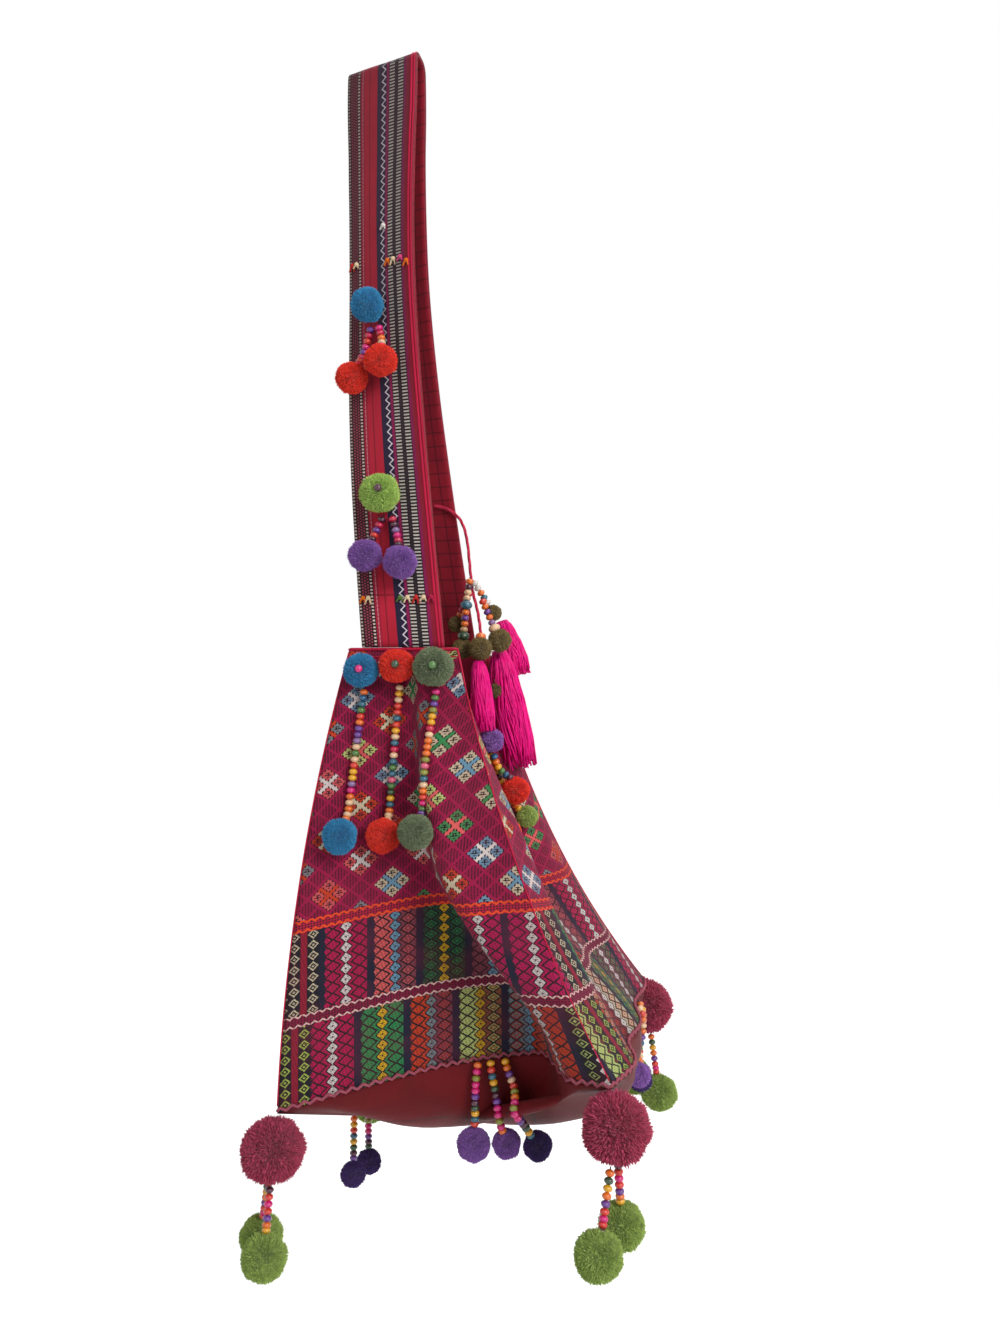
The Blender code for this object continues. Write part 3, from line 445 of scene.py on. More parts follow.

# %% [markdown]
# Every piece is an object made from one mesh. It rides on its body, takes its materials and
# stands for CAD nodes, which are hidden.


# %% Helpers for pieces
def body_of(name):
    """The frame's body that a node's name belongs to."""
    return name.split("_corner_")[0] + "_corner" if "_corner_" in name else "bag"


def add_piece(name, bm, kinds, stands_for=(), body="bag"):
    """One object of the bag from a mesh, with its materials in the order given."""
    mesh = bpy.data.meshes.new(name)
    bm.to_mesh(mesh)
    bm.free()
    for kind in kinds:
        mesh.materials.append(materials[kind])
    thing = bpy.data.objects.new(name, mesh)
    scene.collection.objects.link(thing)
    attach(thing, body)
    if stands_for:
        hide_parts(*stands_for)
    return thing


SLANT = Vector((0.31, 0.17, 0.93))  # a direction that no route here follows


def new_dyed():
    bm = bmesh.new()
    bm.verts.layers.float_color.new("dye")
    return bm


def paint_verts(bm, verts, dye):
    layer = bm.verts.layers.float_color["dye"]
    for vertex in verts:
        vertex[layer] = dye


def smooth_route(points, steps):
    """Points of a smooth curve through the given ones."""
    made = []
    last = len(points) - 1
    for index in range(last):
        a, b, c, d = (points[min(max(index + k, 0), last)] for k in (-1, 0, 1, 2))
        for step in range(steps):
            t = step / steps
            made.append(0.5 * (2 * b + (c - a) * t + (2 * a - 5 * b + 4 * c - d) * t * t
                               + (3 * b - a - 3 * c + d) * t ** 3))
    made.append(points[-1])
    return made


def distances(points):
    """How far along a route each of its points lies."""
    made = [0.0]
    for before, after in zip(points, points[1:]):
        made.append(made[-1] + (after - before).length)
    return made


def square_to(points, index, closed=False):
    """Two directions square to a route at one of its points, and square to each other."""
    last = len(points) - 1
    after = points[(index + 1) % len(points)] if closed else points[min(index + 1, last)]
    before = points[index - 1] if closed else points[max(index - 1, 0)]
    along = (after - before).normalized()
    across = along.cross(SLANT).normalized()
    return across, along.cross(across)


def spoke_at(across, other, angle):
    return across * math.cos(angle) + other * math.sin(angle)


def tube(bm, points, radius, dye=None, sides=8, closed=False):
    """A round tube along points, dyed where a dye is given."""
    rings = []
    for index, point in enumerate(points):
        axes = square_to(points, index, closed)
        rings.append([bm.verts.new(point + spoke_at(*axes, 2 * math.pi * i / sides) * radius)
                      for i in range(sides)])
    if dye:
        paint_verts(bm, [vertex for ring in rings for vertex in ring], dye)
    pairs = list(zip(rings, rings[1:])) + ([(rings[-1], rings[0])] if closed else [])
    for first, second in pairs:
        for i in range(sides):
            j = (i + 1) % sides
            bm.faces.new((first[j], first[i], second[i], second[j])).smooth = True
    if not closed:
        bm.faces.new(rings[0])
        bm.faces.new(rings[-1][::-1])


def cloth_map(bm, of_vertex):
    """Writes the cloth map of every corner: a function gives its place in metres."""
    layer = bm.loops.layers.uv.new("cloth")
    for face in bm.faces:
        face.smooth = True
        for loop in face.loops:
            loop[layer].uv = of_vertex(loop)


def thicken(thing, depth, inner=0):
    """Gives a single sheet its thickness, inwards; the inner face may have its own material."""
    made = thing.modifiers.new("thickness", "SOLIDIFY")
    made.thickness = depth
    made.offset = -1
    made.material_offset = inner


# %% [markdown]
# ## The bag's cloth
# Four panels hang from the rim. The two end panels are tucked in along one deep fold, as the
# photograph shows, and the long panels sag between the corners.

# %% Shape of the cloth
RIM_LENGTH, RIM_WIDTH, RIM_DROOP = 0.114, 0.099, 0.050
RIM_CENTRE = Vector((0.003, -0.034, -0.545))
HEM_LENGTH, HEM_WIDTH, HEM_HITCH = 0.280, 0.282, 0.048
HEM_CENTRE = Vector((0.018, -0.087, -0.937))
CLOTH_THICKNESS = 0.0022 - 0.0004  # the solid's, less what the creases and seams add
CORNER_BOW = {
    (-1, 1): Vector((-0.0125, 0.007, 0.003)), (-1, -1): Vector((-0.002, 0.012, -0.006)),
    (1, -1): Vector((-0.032, 0.013, -0.005)), (1, 1): Vector((-0.015, 0.007, 0.0)),
}
NEAR_PLEAT_DEPTH, FAR_PLEAT_DEPTH, FAR_LIP = 0.080, 0.045, 0.70
FRONT_DIP, BACK_DIP, FRONT_RIDGE = 0.036, 0.022, 0.016
BASE_LOW_POINT = Vector((-0.004, -0.052, -0.982))
BASE_BULGE, CORNER_SPREAD, BASE_GAP = 0.06, 0.20, 0.0004
CORNERS = ((-1, 1), (-1, -1), (1, -1), (1, 1))


def smooth_step(value):
    share = min(max(value, 0), 1)
    return share * share * (3 - 2 * share)


def bell(value, middle, spread):
    return math.exp(-((value - middle) / spread) ** 2)


def corner(side_x, side_y, share):
    """A corner edge of the cloth, at a share of the way from rim to hem."""
    top = RIM_CENTRE + Vector((side_x * RIM_LENGTH / 2, side_y * RIM_WIDTH / 2, 0))
    hitch = HEM_HITCH if side_y < 0 else 0
    low = HEM_CENTRE + Vector((side_x * HEM_LENGTH / 2, side_y * HEM_WIDTH / 2, hitch))
    middle = (top + low) / 2 + CORNER_BOW[(side_x, side_y)]
    return (top * ((1 - share) * (1 - 2 * share)) + middle * (4 * share * (1 - share))
            + low * (share * (2 * share - 1)))


def near_lip(down):
    """Where the near panel's fold comes back out, as a share of the way across."""
    return 0.64 + 0.26 * smooth_step((down - 0.45) / 0.5)


def fold_line(lip, down):
    return lip - 0.08 - 0.08 * down


def pleat(across, down, depth, lip):
    """How far an end panel is tucked in: a long slope to the fold, then a short way back out."""
    fold = fold_line(lip, down)
    depth = depth * smooth_step(down / 1.1) ** 0.8
    if across < fold:
        return depth * math.sin(math.pi / 2 * across / fold) ** 1.1
    if across < lip:
        return depth * (1 - 0.88 * smooth_step((across - fold) / (lip - fold)))
    return 0.12 * depth * (1 - smooth_step((across - lip) / (1 - lip)))


def near_panel(across, down):
    lip = near_lip(down)
    bulge = 0.008 * bell(across, lip + 0.05, 0.10) * math.sin(math.pi * down)
    return Vector((pleat(across, down, NEAR_PLEAT_DEPTH, lip) - bulge, 0,
                   0.004 * math.sin(math.pi * across) * down))


def front_panel(across, down):
    ridge = FRONT_RIDGE * bell(across, 0.20, 0.12) * smooth_step(down / 0.5)
    depth = (0.15 + 0.85 * smooth_step(down / 0.7)) * (1 - 1.15 * smooth_step((down - 0.5) / 0.5))
    ripple = 0.004 * math.sin(5 * math.pi * across) * smooth_step(down)
    hang = math.sin(math.pi * across)
    return Vector((0, FRONT_DIP * bell(across, 0.55, 0.24) * depth * hang - ridge * hang ** 0.5 - ripple,
                   -RIM_DROOP * hang * (1 - down) ** 2))


def far_panel(across, down):
    return Vector((-pleat(across, down, FAR_PLEAT_DEPTH, FAR_LIP), 0,
                   0.004 * math.sin(math.pi * across) * down))


def back_panel(across, down):
    dip = BACK_DIP * bell(across, 0.5, 0.25) * (0.4 + 0.6 * smooth_step(down / 0.6))
    ripple = 0.004 * math.sin(4 * math.pi * across) * smooth_step(down)
    hang = math.sin(math.pi * across)
    return Vector((0, -dip * hang + ripple, -RIM_DROOP * hang * (1 - down) ** 2))


PANELS = (near_panel, front_panel, far_panel, back_panel)


def body_point(panel, across, down):
    """A point of the brocade: across runs 0 to 1 over one panel, down 0 to 1 from rim to hem."""
    start, end = CORNERS[panel], CORNERS[(panel + 1) % 4]
    return corner(*start, down).lerp(corner(*end, down), across) + PANELS[panel](across, down)


def base_point(panel, across, share):
    """A point of the red cloth, from just below the hem at 0 to its low point at 1."""
    turn = share * math.pi / 2
    straight = bell(min(across, 1 - across), 0, CORNER_SPREAD)
    spread = math.cos(turn) ** 0.75 + BASE_BULGE * (1 - straight) * math.sin(2 * turn)
    drop = straight * (1 - spread) + (1 - straight) * math.sin(turn) ** 0.9
    start = body_point(panel, across, 1) - Vector((0, 0, BASE_GAP))
    flat = start.lerp(BASE_LOW_POINT, 1 - spread)
    return Vector((flat.x, flat.y, start.z + (BASE_LOW_POINT.z - start.z) * drop))


def creased(point, amount):
    """The point with fine creases of cloth, always to the inside of the bag."""
    to_middle = Vector((RIM_CENTRE.x - point.x, HEM_CENTRE.y * 0.6 - point.y, 0)).normalized()
    fold = noise.fractal(point * 26, 0.9, 2.1, 3)
    return point + to_middle * (amount * (0.5 + 0.5 * fold))


# %% [markdown]
# Each panel starts as a flat grid. Its points are moved to the panel's shape, and its cloth map is
# measured on the result: across from the panel's middle line, and up from the hem. On the end panels
# the woven stripes follow the corners, so the deep fold takes up the cloth in between.

# %% Cloth shells
END_CORNERS = {0: (0.1145, 0.194), 2: (0.194, 0.1145)}  # left and right half width of an end panel's hem


def end_map(panel, arc, down):
    """Places across an end panel, whose stripes flare to both corners; its fold takes up the rest."""
    left_hem, right_hem = END_CORNERS[panel]
    spread = 0.2 * math.sin(math.pi * down) + down
    left = -RIM_WIDTH / 2 - (left_hem - RIM_WIDTH / 2) * min(spread, 1)
    right = RIM_WIDTH / 2 + (right_hem - RIM_WIDTH / 2) * min(spread, 1)
    lip = near_lip(down) if panel == 0 else FAR_LIP
    at_fold, at_lip = np.interp((fold_line(lip, down), lip), np.linspace(0, 1, len(arc)), arc)
    ends = (left, left + at_fold, right - (arc[-1] - at_lip), right)
    return np.interp(arc, (0, at_fold, at_lip, arc[-1]), ends)


def cloth_shell(name, point_at, columns, rows, amount, kinds, slot, stands_for, flared=False):
    """Four panels of cloth sewn at the corner edges, with a map in metres."""
    bm = bmesh.new()
    layer = bm.loops.layers.uv.new("cloth")
    area = 0
    for panel in range(4):
        first = len(bm.verts)
        bmesh.ops.create_grid(bm, x_segments=columns, y_segments=rows, size=0.5)
        bm.verts.ensure_lookup_table()
        bm.verts.index_update()
        spots = np.zeros((rows + 1, columns + 1, 3))
        for vertex in bm.verts[first:]:
            j, i = divmod(vertex.index - first, columns + 1)
            point = point_at(panel, i / columns, j / rows)
            freedom = math.sin(math.pi * i / columns) ** 0.5 * (1 if j else 0)  # none at the seams
            spots[j, i] = vertex.co = creased(point, amount * freedom)
        right = np.linalg.norm(np.diff(spots, axis=1), axis=2)
        down = np.linalg.norm(np.diff(spots, axis=0), axis=2)
        u = np.concatenate([np.zeros((rows + 1, 1)), np.cumsum(right, axis=1)], axis=1)
        if flared and panel in END_CORNERS:
            for j in range(rows + 1):
                u[j] = end_map(panel, u[j], j / rows)
        else:
            u -= u[:, -1:] / 2
        height = down[::-1].cumsum(axis=0)[-1]
        if flared:
            height = np.linspace(height[0], height[-1], columns + 1)
        v = np.outer(1 - np.arange(rows + 1) / rows, height)
        area += float((right[:-1].mean(axis=1) * down.mean(axis=1) * columns).sum())
        middle = (panel + 0.5) * UNITS_PER_PANEL * UNIT / 1000
        for face in bm.faces:
            if all(vertex.index >= first for vertex in face.verts):
                face.smooth = True
                for loop in face.loops:
                    j, i = divmod(loop.vert.index - first, columns + 1)
                    loop[layer].uv = (middle + u[j, i], v[j, i])
    bmesh.ops.remove_doubles(bm, verts=bm.verts, dist=0.00005)
    centre = Vector((RIM_CENTRE.x, HEM_CENTRE.y, HEM_CENTRE.z))
    bm.faces.ensure_lookup_table()
    sample = bm.faces[columns * rows // 2]
    if sample.normal.dot(sample.calc_center_median() - centre) < 0:
        bmesh.ops.reverse_faces(bm, faces=bm.faces)
    thing = add_piece(name, bm, kinds, stands_for)
    print(name, "cloth area", round(area, 3), "m2, longest column", round(float(v.max()), 3), "m")
    return thing, area


BROCADE_GRID, BROCADE_CREASE, BASE_GRID, BASE_CREASE = (44, 72), 0.0018, (48, 28), 0.0024
brocade, brocade_area = cloth_shell("brocade_bag", body_point, *BROCADE_GRID, BROCADE_CREASE,
                                    ["brocade", "inside"], "brocade", ["brocade_body"], flared=True)
thicken(brocade, CLOTH_THICKNESS, inner=1)
base, _ = cloth_shell("red_base", base_point, *BASE_GRID, BASE_CREASE, ["base"], "red_cotton",
                      ["base_cloth"])
thicken(base, CLOTH_THICKNESS)

# %% [markdown]
# ## Sewn edges
# A folded crimson edge runs round the mouth, an overlock stitch in dusty pink scallops along the
# hem, and the corner seams carry a line of light stitches.

# %% Rim, hem and corner seams
def around(down, columns, lift=0.0, wave=0.0, count=1):
    """Points round the cloth at one height, lifted outwards, with a scalloped wave."""
    points = []
    for index in range(4 * columns):
        panel, across = index // columns, (index % columns) / columns
        point = body_point(panel, across, down)
        start, end = (body_point(panel, min(max(across + way, 0), 1), down) for way in (-0.01, 0.01))
        out = Vector(((end - start).y, -(end - start).x, 0)).normalized()
        rise = Vector((0, 0, wave * math.sin(2 * math.pi * index * count / columns)))
        points.append(point + out * lift + rise)
    return points


def edging(name, rings, kinds, sides=8):
    """Closed or open tubes of thread along the cloth."""
    bm = bmesh.new()
    for points, radius, closed in rings:
        tube(bm, points, radius, sides=sides, closed=closed)
    cloth_map(bm, lambda loop: (loop.vert.co.x + loop.vert.co.y, loop.vert.co.z))
    return add_piece(name, bm, kinds)


edging("mouth_edge", [(around(0.004, 30, 0.0), 0.0015, True), (around(0.022, 30, 0.0), 0.0006, True)],
       ["piping"])
edging("hem_overlock", [(around(0.994, 128, 0.0008, 0.0016, 32), 0.0013, True)], ["overlock"])
SEAM_TOP, SEAM_SHARE, SEAM_STEPS, SEAM_LIFT, SEAM_RADIUS = 0.01, 0.975, 80, 0.0002, 0.0006
seams = []
for key in CORNERS:
    lift = Vector((*key, 0)).normalized() * SEAM_LIFT
    seams.append(([corner(*key, SEAM_TOP + SEAM_SHARE * step / SEAM_STEPS) + lift
                   for step in range(SEAM_STEPS + 1)], SEAM_RADIUS, False))
edging("corner_seams", seams, ["piping"], sides=6)

# %% [markdown]
# ## The strap
# Its middle line runs from one rim, over the peg and down to the other rim. Each half bows a little
# towards the back and is turned at the top, as a strap does that has been folded for long.

# %% Strap
BAND_THICKNESS, LINING_THICKNESS, GAP = 0.0022, 0.0014, 0.0004
CROWN_FLAT, CROWN_RADIUS, CROWN_TWIST = 0.010, 0.009, math.radians(15)
MIDDLE_TWIST, NEAR_BOW, FAR_BOW, STRAP_RIPPLE = math.radians(12), 0.0088, 0.0125, 0.0005


def strap_end(side):
    return RIM_CENTRE + Vector((side * RIM_LENGTH / 2, 0, GAP))


def crown_edge(side):
    height = LINING_THICKNESS + GAP + BAND_THICKNESS / 2
    return Vector((side * (CROWN_FLAT / 2 + CROWN_RADIUS), 0, height - CROWN_RADIUS))


def leg_point(side, share):
    """Middle of the strap at a share of the way from the crown to the rim."""
    bow = (NEAR_BOW if side < 0 else FAR_BOW) * math.sin(math.pi * share)
    return crown_edge(side).lerp(strap_end(side), share) + Vector((0, bow, 0))


def width_direction(share):
    angle = CROWN_TWIST * (1 - share) + MIDDLE_TWIST * bell(share, 0.36, 0.28) * smooth_step(share / 0.15)
    return Vector((-math.sin(angle), -math.cos(angle), 0))


def strap_stations(leg_steps, arc_steps):
    """Middle line of the band from the near end over the crown to the far end, with width."""
    stations = []
    for step in range(leg_steps):
        share = 1 - step / leg_steps
        stations.append((leg_point(-1, share), width_direction(share)))
    height = crown_edge(1).z
    for side in (-1, 1):
        angles = range(arc_steps + 1) if side < 0 else range(arc_steps, -1, -1)
        for step in angles:
            angle = step / arc_steps * math.pi / 2
            across = side * (CROWN_FLAT / 2 + CROWN_RADIUS * math.cos(angle))
            stations.append((Vector((across, 0, height + CROWN_RADIUS * math.sin(angle))),
                             width_direction(0)))
    for step in range(1, leg_steps + 1):
        share = step / leg_steps
        stations.append((leg_point(1, share), width_direction(share)))
    return stations


STATIONS = strap_stations(110, 8)
LENGTHS = distances([middle for middle, _ in STATIONS])


def on_band(index, offset, lift):
    """A point of the strap at a station, offset across it and lifted off its middle line."""
    point, across = STATIONS[index]
    before, after = STATIONS[max(index - 1, 0)][0], STATIONS[min(index + 1, len(STATIONS) - 1)][0]
    out = across.cross((after - before).normalized()).normalized()
    wave = STRAP_RIPPLE * noise.noise(Vector((offset * 30, LENGTHS[index] * 14, 0)))
    return point + across * offset + out * (lift + wave)


def strap_sheet(name, lift, depth, columns, kinds, stands_for):
    """One layer of the strap: a grid over the stations, thickened towards the peg."""
    bm = bmesh.new()
    rows = len(STATIONS) - 1
    bmesh.ops.create_grid(bm, x_segments=columns, y_segments=rows, size=0.5)
    layer = bm.loops.layers.uv.new("cloth")
    spots = {}
    for vertex in bm.verts:
        share, index = vertex.co.x + 0.5, round((vertex.co.y + 0.5) * rows)
        spots[vertex] = (share * STRAP_WIDTH, LENGTHS[index], index)
        vertex.co = on_band(index, (share - 0.5) * STRAP_WIDTH, lift)
    for face in bm.faces:
        face.smooth = True
        for loop in face.loops:
            loop[layer].uv = spots[loop.vert][:2]
    face = min(bm.faces, key=lambda f: f.calc_center_median().x)
    if face.normal.x > 0:
        bmesh.ops.reverse_faces(bm, faces=bm.faces)
    thing = add_piece(name, bm, kinds, stands_for)
    thicken(thing, depth)
    return thing


band = strap_sheet("strap_outer", BAND_THICKNESS / 2, BAND_THICKNESS, 20, ["strap"],
                   ["strap_band"])
lining = strap_sheet("strap_inner", -BAND_THICKNESS / 2 - GAP, LINING_THICKNESS, 16, ["lining"],
                     ["strap_lining"])
PIPING = ((0.0368, -0.0006, 0.0011), (0.0338, -0.0006, 0.0013), (-0.0374, -0.0008, 0.0007))
edging("strap_piping", [([on_band(i, offset, BAND_THICKNESS / 2 + lift) for i in range(len(STATIONS))],
                         radius, False) for offset, lift, radius in PIPING], ["piping"])
print("strap", round(LENGTHS[-1], 3), "m long")

# %% [markdown]
# ## Pompoms and beads
# A pompom is a ball whose every face is drawn out into a tuft; painted shade makes it darker at the root
# than at the tip.
# Poking the faces of a fine ball is quick, and gives the ragged outline of cut yarn.
# The places of the balls and strings are read from the CAD nodes.

# %% Pompoms, beads and tassels
YARNS = {
    "blue": "#2E82AE", "red": "#D8321E", "grey_green": "#6E7A5C", "lime": "#9CB85C",
    "purple": "#8458A2", "dark_purple": "#3A2060", "crimson_pink": "#A03652", "leaf_green": "#8CA250",
    "olive": "#6B5A30", "orange": "#E8501C", "magenta": "#E4087E",
}
BEAD_DYES = {
    "c": "#E8C098", "y": "#E8A820", "o": "#E87020", "r": "#D83A2A", "k": "#C81E48", "m": "#D81E78",
    "p": "#6A3A90", "l": "#8A6A9A", "t": "#2E6478", "n": "#1E5A80", "g": "#4E7A3A", "w": "#8A8A30",
    "d": "#2E4A30", "i": "#E06080", "u": "#4A1830", "a": "#C8A070", "h": "#D8D0C8",
}
BEAD_RADIUS, BEAD_LENGTH, LARGE_BEAD = 0.0038, 0.0054, 1.55
THREAD, THREAD_DYE, THREAD_HIDDEN = 0.0012, "#3A1A20", 0.003
SHORTEST_CORD, RING_POINTS = 0.03, 5  # points to a ring of a string in the CAD nodes
# of a tuft's two ends: shortest and longest reach, darkest and brightest painted shading (painted shade at
# the roots between the tufts)
TUFT_ROOTS, TUFT_TIPS = (0.86, 0.94, 0.55, 0.85), (0.94, 1.09, 0.95, 1.35)
YARN_LIFT = 1.45  # cut ends catch more light than the shadow between the tufts takes away


def yarn_ball(bm, centre, radius, colour, detail, seed):
    """A ball of cut yarn: every face of a ball is poked, and its new middle drawn out to a tuft."""
    chance = random.Random(seed)
    dye_and_shade = bm.verts.layers.float_color["dye"]
    dye = Vector(linear(YARNS[colour])[:3]) * YARN_LIFT + Vector((0.02, 0.02, 0.02))
    squeeze = Vector((chance.uniform(0.95, 1.0), chance.uniform(0.95, 1.0), chance.uniform(0.93, 0.99)))
    squeeze *= radius
    phase = Vector([chance.uniform(0, 50) for _ in range(3)])
    first = len(bm.faces)
    made = bmesh.ops.create_icosphere(bm, subdivisions=detail, radius=1)["verts"]
    bm.faces.ensure_lookup_table()
    tips = bmesh.ops.poke(bm, faces=bm.faces[first:])["verts"]
    for verts, (low, high, darkest_shading, brightest_shading) in ((made, TUFT_ROOTS), (tips, TUFT_TIPS)):
        for vertex in verts:
            spot = vertex.co.normalized()
            tuft = 0.5 + 0.5 * noise.noise(spot * 6 + phase)
            lump = 1 + 0.07 * noise.noise(spot * 1.8 + phase) + 0.05 * (tuft - 0.5)
            lean = Vector([chance.uniform(-0.03, 0.03) for _ in range(3)])
            place = spot * (chance.uniform(low, high) * lump) + lean
            # painted shade: the roots between the tufts are darker than the tips
            shade = chance.uniform(darkest_shading, brightest_shading) * (0.86 + 0.28 * tuft)
            vertex[dye_and_shade] = (*(dye * shade), 1)
            vertex.co = Vector([place[k] * squeeze[k] for k in range(3)]) + centre


def bead(bm, place, along, dye, size=1.0):
    """One flattened round bead threaded along a direction."""
    turn = along.to_track_quat("Z", "Y").to_matrix().to_4x4()
    scale = Matrix.Diagonal((BEAD_RADIUS * size, BEAD_RADIUS * size, BEAD_LENGTH / 2 * size * 1.04, 1))
    first = len(bm.faces)
    made = bmesh.ops.create_uvsphere(bm, u_segments=10, v_segments=7, radius=1,
                                     matrix=Matrix.Translation(place) @ turn @ scale)
    paint_verts(bm, made["verts"], linear(BEAD_DYES[dye]))
    bm.faces.ensure_lookup_table()
    for face in bm.faces[first:]:
        face.smooth, face.material_index = True, 1


def thread_beads(bm, route, start, end, letters):
    """Beads along a route between two distances from its start; capitals are large beads."""
    steps = distances(route)

    def at(distance):
        index = min(max(np.searchsorted(steps, distance) - 1, 0), len(route) - 2)
        share = (distance - steps[index]) / max(steps[index + 1] - steps[index], 1e-6)
        return route[index].lerp(route[index + 1], share)

    place, number = start, 0
    while True:
        letter = letters[number % len(letters)]
        size = LARGE_BEAD if letter.isupper() else 1.0
        length = BEAD_LENGTH * size
        if place + length > end:
            break
        a, b = at(place), at(place + length)
        bead(bm, (a + b) / 2, (b - a).normalized(), letter.lower(), size)
        place += length
        number += 1
    return number


def hang_thread(name, route, body="bag"):
    """The thread of a string of beads. Says if it is long enough to count as a cord."""
    bm = new_dyed()
    tube(bm, route, THREAD / 2, linear(THREAD_DYE), sides=6)
    thread = add_piece(name, bm, ["thread"], body=body)
    length = distances(route)[-1]
    if length < SHORTEST_CORD:
        return False
    return True


def read_ball(name, radius):
    """Centre of a node's ball, which is its lowest part, and the centres of its string's rings."""
    points = sorted({tuple(round(c, 6) for c in v.co) for v in nodes[name].data.vertices},
                    key=lambda p: -p[2])
    z = points[-1][2] + radius
    belt = [p for p in points if abs(p[2] - z) < 0.6 * radius]
    centre = Vector((sum(p[0] for p in belt) / len(belt), sum(p[1] for p in belt) / len(belt), z))
    string = [Vector(p) for p in points if (Vector(p) - centre).length > 1.03 * radius and p[2] > z]
    rings = [sum(string[i:i + RING_POINTS], Vector()) / RING_POINTS
             for i in range(0, len(string) - RING_POINTS + 1, RING_POINTS)]
    return centre, rings


END_BEADS = {"blue": "ontgropplcgcryylmococ", "red": "cycrrtryctkctgtigdytoc",
             "grey": "mgpwyykcooowiwtcor"}
HEM_BEADS, FRONT_BEADS = "omwmmpudytry", "noygnuocoy"
CORNER_BEADS = "odyoprmru"
# node, radius of its ball in millimetres, yarn, beads; * is near or far, @ is a corner
BALLS = (
    ("*_upper_pompom", 15.5, "blue", ""), ("*_upper_left_pendant", 15.0, "red", "pkrm"),
    ("*_upper_right_pendant", 15.0, "red", "mkoc"), ("*_lower_pompom", 17.5, "lime", ""),
    ("*_lower_left_pendant", 15.0, "purple", "ukpr"), ("*_lower_right_pendant", 15.0, "purple", "kulm"),
    ("*_end_blue_pompom", 15.5, "blue", ""), ("*_end_blue_pendant", 15.5, "blue", END_BEADS["blue"]),
    ("*_end_red_pompom", 15.5, "red", ""), ("*_end_red_pendant", 15.5, "red", END_BEADS["red"]),
    ("*_end_grey_pompom", 18.0, "grey_green", ""),
    ("*_end_grey_pendant", 15.5, "grey_green", END_BEADS["grey"]),
    ("@_corner_pompom", 27.5, "crimson_pink", ""),
    ("@_corner_left_pendant", 19.2, "leaf_green", CORNER_BEADS),
    ("@_corner_right_pendant", 19.2, "leaf_green", CORNER_BEADS[::-1]),
    ("near_hem_left_pendant", 15.0, "purple", HEM_BEADS),
    ("near_hem_middle_pendant", 13.0, "purple", HEM_BEADS[::-1]),
    ("near_hem_right_pendant", 13.0, "dark_purple", "yopcrw" + HEM_BEADS),
    ("front_hem_left_pendant", 12.5, "purple", "crocopngcoyo"),
    ("front_hem_right_pendant", 12.5, "dark_purple", "oyocgnpocrco"),
    ("far_hem_left_pendant", 15.0, "purple", HEM_BEADS),
    ("back_hem_left_pendant", 12.5, "dark_purple", HEM_BEADS),
    ("back_hem_right_pendant", 12.5, "dark_purple", HEM_BEADS[::-1]),
    ("front_top_pompom", 11.5, "purple", ""), ("front_left_pendant", 9.5, "orange", "oyyoyoyy"),
    ("front_middle_pendant", 13.5, "red", FRONT_BEADS),
    ("front_right_pendant", 11.0, "leaf_green", "yyoyuyoy"),
    ("tie_middle_pompom", 11.5, "olive", ""), ("tie_left_pendant", 10.5, "olive", "ouccTopoaD"),
    ("tie_right_pendant", 11.5, "olive", "ropolC"),
)
STANDS_FOR = {"*": ("near", "far"), "@": ("near_left", "near_right", "far_right", "far_left")}
made_balls = {}
for pattern, radius_mm, yarn, letters in BALLS:
    for label in STANDS_FOR.get(pattern[0], ("",)):
        name = label + pattern.lstrip("*@")
        radius = radius_mm / 1000
        centre, rings = read_ball(name, radius)
        bm = new_dyed()
        detail = 5 if radius > 0.0125 else 4
        yarn_ball(bm, centre, radius * 0.98, yarn, detail, name)
        count, route = 0, []
        if letters:
            hidden = (rings[0] - rings[1]).normalized() * THREAD_HIDDEN
            route = smooth_route([rings[0] + hidden, *rings[2::2], rings[-1], centre], 3)
            count = thread_beads(bm, route, 0.002, distances(route)[-1] - radius * 0.72, letters)
        thing = add_piece(f"yarn_{name}", bm, ["yarn", "wood"], [name], body_of(name))
        made_balls[name] = (centre, radius, route, count, thing)
print(len(made_balls), "balls of yarn,", sum(b[3] for b in made_balls.values()), "beads")

# %% [markdown]
# Small beads sit in the middle of the top pompoms at the ends of the bag.

# %% Beads on the pompoms
for side, sign in (("near", -1), ("far", 1)):
    bm = new_dyed()
    for kind, dye in (("end_blue", "m"), ("end_red", "d"), ("end_grey", "g"), ("lower", "u")):
        centre, radius = made_balls[f"{side}_{kind}_pompom"][:2]
        out = Vector((sign, -0.25, 0.1)).normalized()
        bead(bm, centre + out * radius * 1.0, out, dye, 0.9)
    add_piece(f"{side}_pompom_beads", bm, ["wood", "wood"])

# %% [markdown]
# Scraps of yarn are knotted through the strap beside the pompoms. Each is a small knot with two tails.

